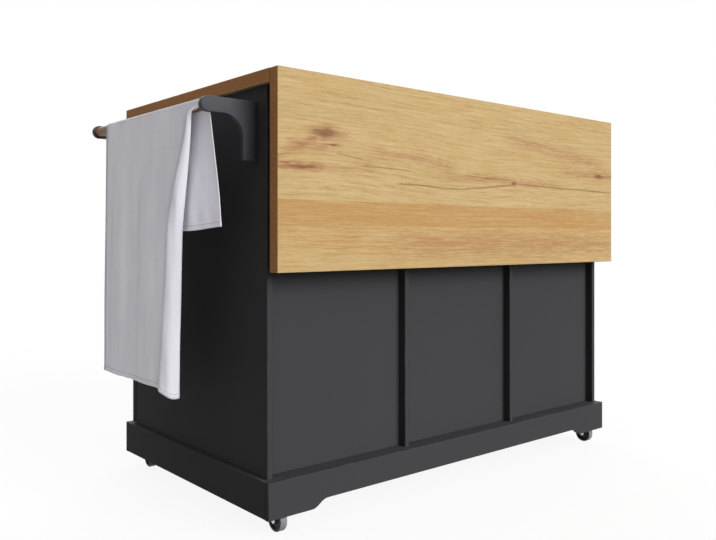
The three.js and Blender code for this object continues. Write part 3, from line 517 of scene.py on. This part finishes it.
# %% The worktop's
top_low, top_high = corners("worktop")
TOP_STAVES = [  # start behind the front edge in mm, darkness, warmth, shift
    (0, 0.02, 0.1, 0.41),
    (72, 0.06, 0.35, 0.07),
    (139, 0.0, 0.12, 0.63),
    (214, 0.04, 0.05, 0.22),
    (280, 0.09, 0.7, 0.88),
    (345, 0.02, 0.1, 0.5),
    (418, 0.05, 0.2, 0.17),
    (487, 0.0, 0.06, 0.76),
    (552, 0.07, 0.45, 0.33),
    (612, 0.04, 0.1, 0.96),
]
TOP_KNOTS = [((-310, 250), (7, 5)), ((215, 455), (9, 6)), ((390, 120), (5, 4)), ((-60, 590), (6, 4))]
TOP_STREAKS = [((-520, 235), (-300, 250), 2), ((-290, 252), (140, 262), 2.5), ((60, 448), (420, 460), 2)]
TOP_FLAMES = [((-420, 246), (-180, 254), 9), ((90, 462), (380, 448), 8), ((250, 124), (520, 112), 9)]

worktop_oak = glued("worktop_oak", "y", top_low, top_high, TOP_STAVES, TOP_KNOTS, TOP_STREAKS, TOP_FLAMES)
OWN_FINISH = {"drop_leaf": leaf_oak, "worktop": worktop_oak}

# %% [markdown]
# ## Plain board, bar wood and metals
# Shelves and drawer boxes are pale plywood with a matt lacquer, and the towel bar is a turned brown rod whose grain
# runs along Y. The plated parts are told apart by what their surface does: zinc plate has a faint crystal pattern,
# plain steel is drawn out in fine lines, and the brackets and knobs wear a graphite powder coat, which is a dull
# grey with the finest orange peel. A grain or a crystal only shows when its size is right, so each scale is the
# count of features in a metre.


# %% Mix the boards and metals
def plain_board():
    """Plywood: a fine grain and a broad figure, both drawn out along Y."""
    material, point = new_finish("plain_plywood", Specular_IOR_Level=0.15)
    grain = noise(point, (60, 7, 420), 4, 0.6)
    figure = noise(point, (6, 1.5, 22), 3, 0.6, 0.8)
    colour = mixed(step(grain * 0.5 + figure * 0.5, 0.3, 0.7), "d9c7a4", "bda27a")
    colour = mixed(on_edge(point) * 0.4, colour, "a98d64")
    return finish_with(material, grain, depth=0.08 * MM, Base_Color=colour, Roughness=0.6 + figure * 0.12)


def bar_wood():
    """Brown wood whose grain and figure run along Y."""
    material, point = new_finish("brown_bar_wood", Specular_IOR_Level=0.3)
    grain = noise(point, (420, 9, 420), 4, 0.6)
    figure = noise(point, (60, 2, 60), 2)
    colour = mixed(step(grain * 0.6 + figure * 0.4, 0.3, 0.7), "a87845", "74502c")
    return finish_with(material, grain, depth=0.06 * MM, Base_Color=colour, Roughness=0.4 + grain * 0.15)


def zinc_plate():
    """Cells of slightly different grey and shine, with scuffs over them."""
    material, point = new_finish("zinc_plate", Metallic=1.0)
    cells = point.node("ShaderNodeTexVoronoi", {}, {"Vector": point, "Scale": 320.0}, output=1)
    crystal, _, _ = separated(cells)
    scuffs = noise(point, 90, 3)
    colour = mixed(crystal * 0.5 + scuffs * 0.5, "b4b6b9", "d6d8da")
    roughness = 0.26 + crystal * 0.1 + scuffs * 0.14
    return finish_with(material, scuffs, depth=0.02 * MM, Base_Color=colour, Roughness=roughness)


def plain_steel():
    """Fine lines drawn out along X, with faint stains."""
    material, point = new_finish("plain_steel", Metallic=1.0)
    drawn = noise(point, (30, 900, 900), 3)
    stain = noise(point, 40, 3)
    colour = mixed(drawn * 0.6 + stain * 0.4, "84878b", "a9acaf")
    roughness = 0.3 + drawn * 0.14 + stain * 0.08
    return finish_with(material, drawn, depth=0.02 * MM, Base_Color=colour, Roughness=roughness)


def graphite_coat():
    """Two near greys with a fine orange peel, and paler edges: partly wear, partly painted highlight."""
    material, point = new_finish("graphite_coat", Specular_IOR_Level=0.15)
    peel = noise(point, 1300, 2)
    drift = noise(point, 14, 2)
    # Paler all along the edges: partly wear, partly painted highlight where a rounded edge would catch the light
    worn_and_highlit = on_edge(point) * 0.35
    colour = mixed(peel * 0.5 + drift * 0.5, "434348", "4c4c52")
    colour = mixed(worn_and_highlit, colour, "5f5f66")
    return finish_with(material, peel, depth=0.04 * MM, Base_Color=colour, Roughness=0.42 + peel * 0.12)


FINISHES["plain_board"] = plain_board()
FINISHES["bar_wood"] = bar_wood()
FINISHES["zinc"] = zinc_plate()
FINISHES["steel"] = plain_steel()
FINISHES["bracket_metal"] = graphite_coat()


# %% Mix the wheel's two plastics
def wheel_plastic(name, dark, pale, shine):
    """A moulded plastic with dust in it: two near greys, and a rougher face where dust lies."""
    material, point = new_finish(name, Specular_IOR_Level=shine)
    dust = noise(point, 160, 4)
    grain = noise(point, 1500, 2)
    colour = mixed(step(dust, 0.35, 0.75), dark, pale)
    return finish_with(material, grain, depth=0.03 * MM, Base_Color=colour, Roughness=0.45 + dust * 0.25)


FINISHES["wheel_rubber"] = wheel_plastic("wheel_disc", "131314", "232325", 0.3)
tread_finish = wheel_plastic("wheel_tread", "828386", "9b9c9f", 0.25)

# %% [markdown]
# ## Cotton
# The towel is plain-woven cotton. Its pattern follows the cloth and not the room, so it is read from the towel's
# own map, which holds metres along the weft and along the warp. In a plain weave a thread goes over one and under
# the next, which is the product of two sines. Hand-spun threads also swell and thin, so two drawn-out noises, one
# each way, thicken single threads. A broader noise shades the soft creases a little. Each hem is a double layer
# with a row of stitches sunk in it.

# %% Weave the cotton
TOWEL_LENGTH = 839 * MM
THREAD = 1.3 * MM
HEM = 12 * MM
STITCH_LINE = 9.5 * MM  # from the end
STITCH = 3.2 * MM
WEAVE_DEPTH = 0.25 * MM


def cotton():
    """Threads over and under each other, painted shade in soft creases, and a stitched hem at both ends."""
    material, point = new_finish("woven_cotton", reads="UV", Specular_IOR_Level=0.08, Sheen_Weight=0.15)
    u, v, _ = separated(point)
    turn = math.pi / THREAD
    over = sine(u * turn) * sine(v * turn)
    warp = noise(point, (520, 9, 1), 2)
    weft = noise(point, (9, 520, 1), 2)
    creases = step(noise(point, (24, 6, 1), 3), 0.25, 0.75)
    to_end = v.maths("MINIMUM", v, TOWEL_LENGTH - v)
    hem = 1 - step(to_end, HEM - 0.5 * MM, HEM + 0.5 * MM)
    beat = sine(u * (2 * math.pi / STITCH))
    row = 1 - step(to_end.maths("ABSOLUTE", to_end - STITCH_LINE), 0.3 * MM, 1.1 * MM)
    stitches = row * step(beat, -0.5, 0.1)
    colour = mixed(over * 0.3 + warp * 0.5 + weft * 0.5 - 0.1, "d5d3da", "ebeaf0")
    # Painted shade: the cloth is darker where the broad crease noise is high, as if shaded in soft creases
    colour = mixed(creases * 0.3, colour, "bfbdc6")
    colour = mixed(row * 0.3 + stitches * 0.4, colour, "8d8b93")
    relief = over * 0.35 + warp * 0.5 + weft * 0.5 + hem * 0.8 - stitches * 0.8
    return finish_with(material, relief, depth=WEAVE_DEPTH, Base_Color=colour, Roughness=0.82 + creases * 0.12)


FINISHES["cotton"] = cotton()

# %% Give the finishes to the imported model's own nodes
def finish_of(node):
    """The leaf and the worktop have an oak of their own, and every other node takes its slot's finish."""
    return OWN_FINISH[node] if node in OWN_FINISH else FINISHES[slot_of[node]]


for node, model in frame["nodes"].items():
    for slot in model.material_slots:
        slot.material = finish_of(node)
print(len(frame["nodes"]), "nodes have a finish")

# %% [markdown]
# ## Boards with eased edges
# A sawn board's edges are always broken by a little sanding, and that thin bright line is what makes a board look
# like a board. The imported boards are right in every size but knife-sharp. Each one is copied, its loose triangles
# are merged into whole faces, and its long outer edges get a bevel weight for a Bevel modifier to round. Edges that
# are short, hollow or beside a sliver of a face stay as they are, so the cove, the bores and the pockets don't
# change.

# %% Ease the edges of boards and plates
SHARP = math.radians(60)
SMOOTH_BELOW = math.radians(35)
SLIVER = 3  # a face narrower than so many widths of the ease leaves no room for it


def shaded(mesh):
    """Makes a mesh look smooth except at its corners."""
    mesh.shade_smooth()
    mesh.set_sharp_from_angle(angle=SMOOTH_BELOW)
    return mesh


def piece(name, mesh, body, finishes, replaces=()):
    """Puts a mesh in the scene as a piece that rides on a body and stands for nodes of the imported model."""
    made = add(name, mesh)
    for finish in finishes:
        mesh.materials.append(finish)
    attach(made, body)
    if replaces:
        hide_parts(*replaces)
    return made


def stand_in(prefix, node, mesh, finishes=None):
    """A piece in a node's place: on its body, of its slot and, if no others are given, with its finish."""
    finishes = finishes or [finish_of(node)]
    return piece(f"{prefix}_{node}", mesh, body_of[node], finishes, [node])


def eased(node, width, shortest):
    """A copy of a node whose long, sharp, outer edges are rounded. Width and shortest are in metres."""
    mesh = frame["nodes"][node].data.copy()
    mesh.materials.clear()
    for attribute in [a for a in mesh.attributes if a.name == "custom_normal"]:
        mesh.attributes.remove(attribute)
    board = bmesh.new()
    board.from_mesh(mesh)
    bmesh.ops.remove_doubles(board, verts=board.verts, dist=0.002 * MM)
    bmesh.ops.dissolve_limit(board, angle_limit=math.radians(0.5), verts=board.verts, edges=board.edges)
    weight = board.edges.layers.float.new("bevel_weight_edge")
    for edge in board.edges:
        length = edge.calc_length()
        if len(edge.link_faces) == 2 and edge.is_convex and length >= shortest:
            wide = all(face.calc_area() / length >= SLIVER * width for face in edge.link_faces)
            edge[weight] = float(wide and edge.calc_face_angle() > SHARP)
    count = sum(edge[weight] > 0 for edge in board.edges)
    board.to_mesh(mesh)
    board.free()
    bevel = stand_in("eased", node, shaded(mesh)).modifiers.new("ease", "BEVEL")
    bevel.limit_method = "WEIGHT"
    bevel.width = width
    bevel.segments = 3
    bevel.use_clamp_overlap = False
    bevel.harden_normals = True
    return count


PLATES = ("caster_housing", "caster_fork", "leaf_hinge_arm", "stay")
EASED = [  # nodes, the width of the ease in mm and the shortest edge that gets one
    ([node for node, slot in slot_of.items() if slot in ("oak", "painted_board")], 1.3, 25),
    ([node for node, slot in slot_of.items() if slot == "plain_board"], 0.8, 25),
    ([node for node in slot_of if node.startswith(PLATES)], 0.35, 4),
]
edges = {node: eased(node, width * MM, shortest * MM) for nodes, width, shortest in EASED for node in nodes}
print(len(edges), "boards and plates with", sum(edges.values()), "eased edges")

# %% [markdown]
# ## Surfaces from whole arrays
# Everything from here on is new. A surface is a grid of points: its rows and columns are the two parameters of a
# formula, and numpy works all of them out at once. A tube closes on itself along its columns, and a turned shape
# also ends in a point at each end, whose doubled points are merged.

# %% A grid of points as a mesh
def grid_mesh(name, points, closed=False, capped=False, bands=None, flat=None):
    """A mesh of quads between neighbouring rows and columns. Closed joins the last column to the first, capped
    closes both end rows with a face each, bands gives each gap between rows its material's number, and flat is
    each point's place on the cloth."""
    rows, columns = points.shape[:2]
    row, column = np.meshgrid(np.arange(rows - 1), np.arange(columns if closed else columns - 1), indexing="ij")
    following = (column + 1) % columns
    quads = np.stack([row, row, row + 1, row + 1], -1) * columns
    quads = (quads + np.stack([column, following, following, column], -1)).reshape(-1, 4)
    faces = quads.tolist()
    if capped:
        faces += [list(range(columns)), list(range((rows - 1) * columns, rows * columns))]
    mesh = bpy.data.meshes.new(name)
    mesh.from_pydata(points.reshape(-1, 3).tolist(), [], faces)
    if bands is not None:
        mesh.polygons.foreach_set("material_index", np.repeat(bands, quads.shape[0] // (rows - 1)))
    if flat is not None:
        places = mesh.uv_layers.new(name="cloth")
        corner_points = np.zeros(len(mesh.loops), int)
        mesh.loops.foreach_get("vertex_index", corner_points)
        places.data.foreach_set("uv", flat.reshape(-1, 2)[corner_points].ravel())
    if closed:
        shape = bmesh.new()
        shape.from_mesh(mesh)
        bmesh.ops.remove_doubles(shape, verts=shape.verts, dist=0.001 * MM)
        bmesh.ops.recalc_face_normals(shape, faces=shape.faces)
        shape.to_mesh(mesh)
        shape.free()
    return shaded(mesh)


# %% Turned shapes
CORNER_POINTS = 5


def softened(profile, ease):
    """Rounds a line's inner corners. With A and B on its two sides, ease away from a corner P, the corner becomes
    (1 - t)^2 A + 2t(1 - t) P + t^2 B for t from 0 to 1. On short sides A and B stay half way along."""
    profile = np.array(profile, float)
    corner = profile[1:-1]

    def part_way(neighbour):
        side = neighbour - corner
        return corner + side * np.minimum(ease / np.linalg.norm(side, axis=1, keepdims=True), 0.5)

    a, b = part_way(profile[:-2])[:, None], part_way(profile[2:])[:, None]
    t = np.linspace(0, 1, CORNER_POINTS)[None, :, None]
    curves = (1 - t) ** 2 * a + 2 * t * (1 - t) * corner[:, None] + t**2 * b
    return np.concatenate([profile[:1], curves.reshape(-1, 2), profile[-1:]])


def turned(name, profile, axis, centre, sides=48, bands=None):
    """A profile of (radius, place along the axis) carried round an axis: each point goes to place along it and
    radius times (cos a, sin a) across it. Axis is 0, 1 or 2 for X, Y or Z."""
    radius, along = np.array(profile, float).T[:, :, None]
    angle = np.linspace(0, 2 * np.pi, sides, endpoint=False)[None, :]
    points = np.stack([along + 0 * angle, radius * np.cos(angle), radius * np.sin(angle)], -1)
    return grid_mesh(name, np.roll(points, axis, axis=-1) + centre, closed=True, bands=bands)


# %% [markdown]
# ## Knobs, pins and the towel bar
# These are lathe work, so each is a profile carried round its axis. The knobs have a waist and a domed face, and
# every rim is rounded as a file or a tumbler leaves it. Each takes its place from the node it stands for, and the
# bar and the leaf's hinge pins take their size from it too.

# %% Turn the knobs
KNOB_STEM = [(0, -0.2), (9, -0.2), (9, 0.8), (6.4, 2.6), (5.8, 7.2)]  # radius and distance from the front, in mm
KNOB_HEAD = [(8.5, 9.2), (14, 9.9), (15, 12), (13.6, 15.2), (8, 16.7), (0, 17)]
for node in [n for n in slot_of if "knob" in n]:
    low, high = corners(node)
    face = np.array([(low[0] + high[0]) / 2, high[1], (low[2] + high[2]) / 2])
    profile = softened(KNOB_STEM + KNOB_HEAD, 1.6) * MM * (1, -1)
    knob = turned(f"turned_{node}", profile, 1, face)
    stand_in("turned", node, knob)
    print(node, "at", face.round(3))

# %% Turn the bar and the pins
def rounded_rod(node, axis, ease):
    """A rod as long and thick as its node, with rounded ends."""
    low, high = corners(node)
    centre = (low + high) / 2
    reach = (high[axis] - low[axis]) / 2
    radius = (high[axis - 1] - low[axis - 1]) / 2
    profile = softened([(0, -reach), (radius, -reach), (radius, reach), (0, reach)], ease)
    stand_in("turned", node, turned(f"turned_{node}", profile, axis, centre))


rounded_rod("towel_bar", 1, 1 * MM)
for side in ("left", "right"):
    rounded_rod(f"leaf_hinge_pin_{side}", 0, 0.6 * MM)

# %% Turn the door pivots
PIN, COLLAR, COLLAR_PLAY = 3 * MM, 6 * MM, 0.3 * MM
_, floor_top = corners("floor_board")
for node in [n for n in slot_of if n.startswith("door_pivot")]:
    low, high = corners(node)
    centre = (low + high) / 2
    reach = (high[2] - low[2]) / 2
    side = "left" if "left" in node else "right"
    door_low, door_high = corners(f"door_{side}")
    below, above = (floor_top[2], door_low[2]) if node.endswith("bottom") else (door_high[2], top_low[2])
    a, b = below + COLLAR_PLAY - centre[2], above - COLLAR_PLAY - centre[2]
    steps = [(0, -reach), (PIN, -reach), (PIN, a), (COLLAR, a), (COLLAR, b), (PIN, b), (PIN, reach), (0, reach)]
    stand_in("turned", node, turned(f"turned_{node}", softened(steps, 0.4 * MM), 2, centre, sides=32))

# %% [markdown]
# ## Wheels
# A furniture wheel is a black disc with a grey tread moulded round it. Both are one turned profile: the gaps between
# its rings carry the number of their plastic. The profile goes round the section and closes at the bore.

# %% Turn the wheels
# Radius and half width, in mm, from the bore outwards
DISC = [(2.8, 9.2), (6, 9.2), (7, 5.4), (15.5, 5), (17, 8), (20.6, 8.5), (21.6, 8.1)]
TREAD = [(22.3, 7.9), (23, 6.4), (23, 2.2), (22.5, 1.6), (22.5, 0)]
TREAD_START = 21.7  # between the two
half = softened(DISC + TREAD, 0.8)
section = np.concatenate([half, half[-2::-1] * (1, -1), half[:1]]) * MM
is_tread = np.minimum(section[:-1, 0], section[1:, 0]) > TREAD_START * MM
for node in [n for n in slot_of if n.startswith("caster_wheel")]:
    low, high = corners(node)
    mesh = turned(f"turned_{node}", section, 0, (low + high) / 2, sides=64, bands=is_tread.astype(int))
    stand_in("turned", node, mesh, [FINISHES["wheel_rubber"], tread_finish])
print(len(section), "rings in a wheel")

# %% [markdown]
# ## Towel brackets
# Each bracket is a thick cut plate: a leg on the end panel, a hollow curve and an arm with a round tip that holds
# the bar. Its outline is three arcs joined by straight lines. The plate's rim is rounded, so the outline is carried
# from one face to the other while it first grows and then shrinks by a quarter circle.

# %% Cut the brackets
def arc(centre, radius, start, end, steps):
    """Points on a circle from one angle to another, in degrees."""
    angle = np.radians(np.linspace(start, end, steps))[:, None]
    return np.array(centre) + radius * np.concatenate([np.cos(angle), np.sin(angle)], 1)


ARM, LEG, HOLLOW, TOE, RIM = 30 * MM, 32 * MM, 44 * MM, 6 * MM, 1.6 * MM
for node in ("towel_bracket_near", "towel_bracket_far"):
    low, high = corners(node)
    wall, tip, top, bottom = low[0], high[0], high[2], low[2]
    leg = wall + LEG
    outline = np.concatenate(
        [
            [(wall, top), (wall, bottom)],
            arc((leg - TOE, bottom + TOE), TOE, -90, 0, 8),
            arc((leg + HOLLOW, top - ARM - HOLLOW), HOLLOW, 180, 90, 28),
            arc((tip - ARM / 2, top - ARM / 2), ARM / 2, -90, 90, 28),
        ]
    )
    along = np.roll(outline, -1, axis=0) - np.roll(outline, 1, axis=0)
    outward = np.stack([along[:, 1], -along[:, 0]], 1) / np.linalg.norm(along, axis=1, keepdims=True)
    turn = np.linspace(0, np.pi / 2, 6)
    inset = RIM * (1 - np.sin(turn))
    depth = RIM * (1 - np.cos(turn))
    inset, y = np.concatenate([inset, inset[::-1]]), np.concatenate([low[1] + depth, high[1] - depth[::-1]])
    flat_points = outline - inset[:, None, None] * outward
    points = np.insert(flat_points, 1, np.broadcast_to(y[:, None], flat_points.shape[:2]), axis=-1)
    stand_in("cut", node, grid_mesh(f"cut_{node}", points, closed=True, capped=True))
    print(node, "outline of", len(outline), "points")

# %% [markdown]
# ## Screws
# Hinge arms, stay brackets and caster plates are screwed on. A socket screw's head is a low dome with a six-sided
# hole: most of its rings are circles, and the two rings of the hole follow a hexagon, whose radius at an angle is
# the flat's distance over the cosine of the angle from the middle of that flat. One head is copied to all places
# by adding the places to it, as one array.

# %% Drive the screws
HEAD_RINGS = np.array([(0, 0.9), (1.5, 0.9), (1.5, 1.9), (2.1, 2.0), (3.0, 1.6), (3.5, 0.7), (3.5, -0.3), (0, -0.3)])
HEX_RINGS = np.array([0, 1, 1, 0, 0, 0, 0, 0], bool)
ARM_SCREWS = ((-9, 7), (9, 7), (0, 20))  # from the hinge arm's middle and its front edge, in mm
STAY_SCREWS, STAY_PLATE = (-22, 22), 2  # from the bracket's middle height, and the plate's thickness
PLATE_SCREWS, CASTER_PLATE = [(x, y) for x in (-17, 17) for y in (-17, 17)], 3  # from the caster's middle


def screw_heads(name, places, towards):
    """Screw heads at places, in metres, that stand out along axis towards[0] in the direction towards[1]."""
    angle = np.linspace(0, 2 * np.pi, 24, endpoint=False)
    hexagon = np.cos(np.pi / 6) / np.cos(angle % (np.pi / 3) - np.pi / 6)
    radius = HEAD_RINGS[:, :1] * np.where(HEX_RINGS[:, None], hexagon, 1) * MM
    height = HEAD_RINGS[:, 1:] * MM * towards[1] + 0 * radius
    head = np.roll(np.stack([height, radius * np.cos(angle), radius * np.sin(angle)], -1), towards[0], axis=-1)
    mesh = bpy.data.meshes.new(name)
    single = grid_mesh("head", head, closed=True)
    count = len(single.vertices)
    points = np.zeros(count * 3)
    single.vertices.foreach_get("co", points)
    points = (np.array(places)[:, None] + points.reshape(1, -1, 3)).reshape(-1, 3)
    faces = [[v + i * count for v in f.vertices] for i in range(len(places)) for f in single.polygons]
    mesh.from_pydata(points.tolist(), [], faces)
    piece(name, shaded(mesh), "cabinet", [FINISHES["zinc"]])


arm_places, stay_places, plate_places = [], [], []
for node in slot_of:
    low, high = corners(node)
    middle = (low + high) / 2
    if node.startswith("leaf_hinge_arm"):
        arm_places += [(middle[0] + x * MM, low[1] + y * MM, low[2]) for x, y in ARM_SCREWS]
    if node.startswith("stay_bracket"):
        stay_places += [(middle[0], low[1] + STAY_PLATE * MM, middle[2] + z * MM) for z in STAY_SCREWS]
    if node.startswith("caster_housing"):
        under = high[2] - CASTER_PLATE * MM
        plate_places += [(middle[0] + x * MM, middle[1] + y * MM, under) for x, y in PLATE_SCREWS]
screw_heads("hinge_arm_screws", arm_places, (2, -1))
screw_heads("stay_bracket_screws", stay_places, (1, 1))
screw_heads("caster_plate_screws", plate_places, (2, -1))
print("screws:", len(arm_places), len(stay_places), len(plate_places))

# %% [markdown]
# ## The towel
# The towel hangs over the bar, with a short drop inside and a long one outside. Below the bar, the near part of the
# long drop is folded in behind the rest along a slanting ridge, so a bright strip of it faces the camera, and the
# folded part hangs a little lower. Seen from above, a row of the cloth is a line that bends: it runs along the bar,
# lifts a little towards the ridge, turns sharply in, and comes back behind. So each row is given by its heading
# along the width, and the row itself is the running sum of the heading's sine and cosine. That keeps every thread
# as long as it was woven. The fold starts as a point at the bar's near end and widens quickly below it. The inner
# drop hangs nearly flat, and its free edge swings away from the bar. A physics run would have to be led into this
# one fold by hand, so the shape comes from the formula.

# %% Where the towel hangs
bar_low, bar_high = corners("towel_bar")
_, far_bracket = corners("towel_bracket_far")
near_bracket, _ = corners("towel_bracket_near")
CLOTH = 1.7 * MM
LOOSE = 0.3 * MM  # between the bar and the cloth
FAR_GAP, NEAR_GAP = 71 * MM, 6 * MM  # between the cloth and the brackets
INNER_DROP, OUTER_DROP = 240 * MM, 561 * MM
bar_x, bar_z = (bar_low[0] + bar_high[0]) / 2, (bar_low[2] + bar_high[2]) / 2
bend = (bar_high[0] - bar_low[0]) / 2 + CLOTH / 2 + LOOSE  # the radius of the cloth's middle over the bar
far_edge = far_bracket[1] + FAR_GAP
width = near_bracket[1] - NEAR_GAP - far_edge


def smooth(t):
    """0 below 0, 1 above 1, and 3t^2 - 2t^3 between."""
    t = np.clip(t, 0, 1)
    return t * t * (3 - 2 * t)


# %% The fold's headings
HEADINGS = np.radians([0, 0, 27, -30, -84, -183, -183])  # at the knots, 0 along the bar and positive outwards
LIFT_START = 45 * MM  # before the ridge
TURNS = (-0.09, 0.09, 0.3, 0.46)  # places of the next knots from the ridge, as shares of the cloth beyond it
BEYOND_AT_BAR = 8 * MM
EARLY_GAIN, EARLY_DEPTH = 12 * MM, 24 * MM
BROAD_GAIN, BROAD_DEPTH = 72 * MM, 260 * MM
LATE_SLOPE = 0.115


def fold_knots(depth):
    """Places across the cloth, in metres from its far edge, where its heading is known. The cloth beyond the
    ridge has some width at the bar, gains some over the early depth and more over the broad depth, and below that
    the late slope times each further metre."""
    early = EARLY_GAIN * smooth(depth / EARLY_DEPTH)
    broad = BROAD_GAIN * smooth(depth / BROAD_DEPTH)
    beyond = BEYOND_AT_BAR + early + broad + LATE_SLOPE * np.maximum(depth - BROAD_DEPTH, 0)
    ridge = width - beyond
    turns = [ridge + share * beyond for share in TURNS]
    return np.stack([0 * ridge, ridge - LIFT_START, *turns, 0 * ridge + width], -1)


def heading(w, knots):
    """The heading at w: from each knot to the next it eases from one value to the other."""
    shares = smooth((w[:, :, None] - knots[:, None, :-1]) / np.diff(knots, axis=1)[:, None, :])
    return HEADINGS[0] + shares @ np.diff(HEADINGS)


# %% The towel's surface
ROWS = {"inner": 70, "bar": 14, "outer": 150}
COLUMNS = [22, 20, 16, 12, 16, 16]  # between one knot and the next
CROWDING = 1.25  # a power that crowds the outer rows near the bar, where the fold begins

# The rows run from the inner hem up, over the bar and down to the outer hem
inner = np.linspace(INNER_DROP, 0, ROWS["inner"], endpoint=False)
over_bar = np.linspace(np.pi, 0, ROWS["bar"], endpoint=False)
outer = OUTER_DROP * np.linspace(0, 1, ROWS["outer"] + 1) ** CROWDING
depth = np.concatenate([inner, 0 * over_bar, outer])
side = np.concatenate([inner * 0 - 1, over_bar * 0, outer * 0 + 1])
angle = np.concatenate([inner * 0 + np.pi, over_bar, outer * 0])

# w is each point's place across the cloth, in metres from its far edge
knots = fold_knots(depth)
column = np.concatenate([[0], *(k + np.arange(1, n + 1) / n for k, n in enumerate(COLUMNS))])
share = np.clip(column[None, :, None] - np.arange(len(COLUMNS)), 0, 1)
w = knots[:, :1] + (share * np.diff(knots, axis=1)[:, None, :]).sum(-1)
middle_w, dw = (w[:, 1:] + w[:, :-1]) / 2, np.diff(w, axis=1)

# %% Each row in plan
TURN_IN = 14 * MM  # the depth over which the headings take hold

outside, inside = (side > 0)[:, None], (side < 0)[:, None]
turned_in = np.where(outside, smooth(depth[:, None] / TURN_IN), 0)
plan = heading(middle_w, knots) * turned_in
start = np.zeros((len(depth), 1))
out = np.concatenate([start, np.cumsum(np.sin(plan) * dw, axis=1)], 1)
y = far_edge + np.concatenate([start, np.cumsum(np.cos(plan) * dw, axis=1)], 1)

# %% Waves, swing and sag
WAVE, WAVE_LENGTH = 4 * MM, 150 * MM
RIPPLE, RIPPLE_LENGTH = 1 * MM, 47 * MM
CREASE, CREASE_LENGTH = 0.7 * MM, 33 * MM
RIPPLE_SLANT, RIPPLE_FADE, CREASE_SLANT = 0.35, 0.6, 0.6  # by the foot of a drop, in turns or as a share
EDGE_START, SWING_SPEED = 0.78, 1.3  # share of the width, and how early the swing is complete
SWING, SWING_BACK, SWING_ALONG, SWING_LIFT = 20 * MM, 24 * MM, 33 * MM, 8 * MM
LEAN = 12 * MM  # of the outer drop, away from the near bracket
SAG = 0.03  # of the folded part, for each metre of depth


def wave(turns):
    """The sine of a number of whole turns."""
    return np.sin(2 * np.pi * turns)


down = (depth / np.where(side > 0, OUTER_DROP, INNER_DROP))[:, None]
free_edge = np.where(inside, smooth((w / width - EDGE_START) / (1 - EDGE_START)), 0)
swung = smooth(down * SWING_SPEED) * free_edge
hanging = smooth(depth / INNER_DROP)[:, None]
waves = WAVE * (1 - np.cos(2 * np.pi * w / WAVE_LENGTH)) / 2
ripples = RIPPLE * wave(w / RIPPLE_LENGTH + RIPPLE_SLANT * down) * smooth(1 - down * RIPPLE_FADE)
creases = CREASE * wave(w / CREASE_LENGTH - CREASE_SLANT * down**2) * wave(down + w / width)
folded = np.where(outside, smooth((w - knots[:, 2:3]) / (knots[:, 4:5] - knots[:, 2:3])), 0)
out = out + hanging * (waves + ripples + creases) + SWING * swung
y = y + SWING_ALONG * down * free_edge - SWING_BACK * swung - np.where(outside, LEAN * down, 0)
dropped = depth[:, None] * (1 + SAG * folded) - SWING_LIFT * down * free_edge
x = bar_x + bend * np.cos(angle)[:, None] + np.where(outside, out, -out * inside)
z = bar_z + bend * np.sin(angle)[:, None] - dropped

# %% Each point's place on the flat cloth
length = np.concatenate([INNER_DROP - inner, INNER_DROP + bend * (np.pi - over_bar)])
length = np.concatenate([length, INNER_DROP + bend * np.pi + outer])
flat = np.stack([w, length[:, None] + 0 * w], -1)
print("towel grid", w.shape, "flat size in mm", (width / MM).round(), (length[-1] / MM).round())

# %% Hang the towel
HEM_FULL, CLOTH_FULL = 1.0, 0.65  # shares of the modifier's thickness

points = np.stack([x, y, z], -1)
towel = stand_in("hung", "towel", grid_mesh("hung_towel", points, flat=flat))
ends = np.minimum(flat[:, :, 1], length[-1] - flat[:, :, 1]).ravel()
hems = towel.vertex_groups.new(name="thickness")
hems.add(np.flatnonzero(ends < HEM).tolist(), HEM_FULL, "REPLACE")
hems.add(np.flatnonzero(ends >= HEM).tolist(), CLOTH_FULL, "REPLACE")
thickness = towel.modifiers.new("thickness", "SOLIDIFY")
thickness.thickness = CLOTH / CLOTH_FULL
thickness.offset = 0
thickness.vertex_group = "thickness"

# %% [markdown]
# ## A little light for the towel alone
# In the photograph the pale cloth is lit far more evenly than the dark panel behind it: bounced light reaches it
# that a dark board swallows, and most of it comes up from the floor. One weak sun from below, linked to the towel
# only, stands for that bounce. Only the towel itself shades it, because the floor lies between them.

# %% Light the towel
BOUNCE = ((0.65, 0.85, -0.35), 0.58, 60)  # direction towards the sun, level, width

bounce = add_sun("towel_bounce", *BOUNCE)
towel_only = bpy.data.collections.new("towel_only")
towel_only.objects.link(towel)
bounce.light_linking.receiver_collection = towel_only
bounce.light_linking.blocker_collection = towel_only
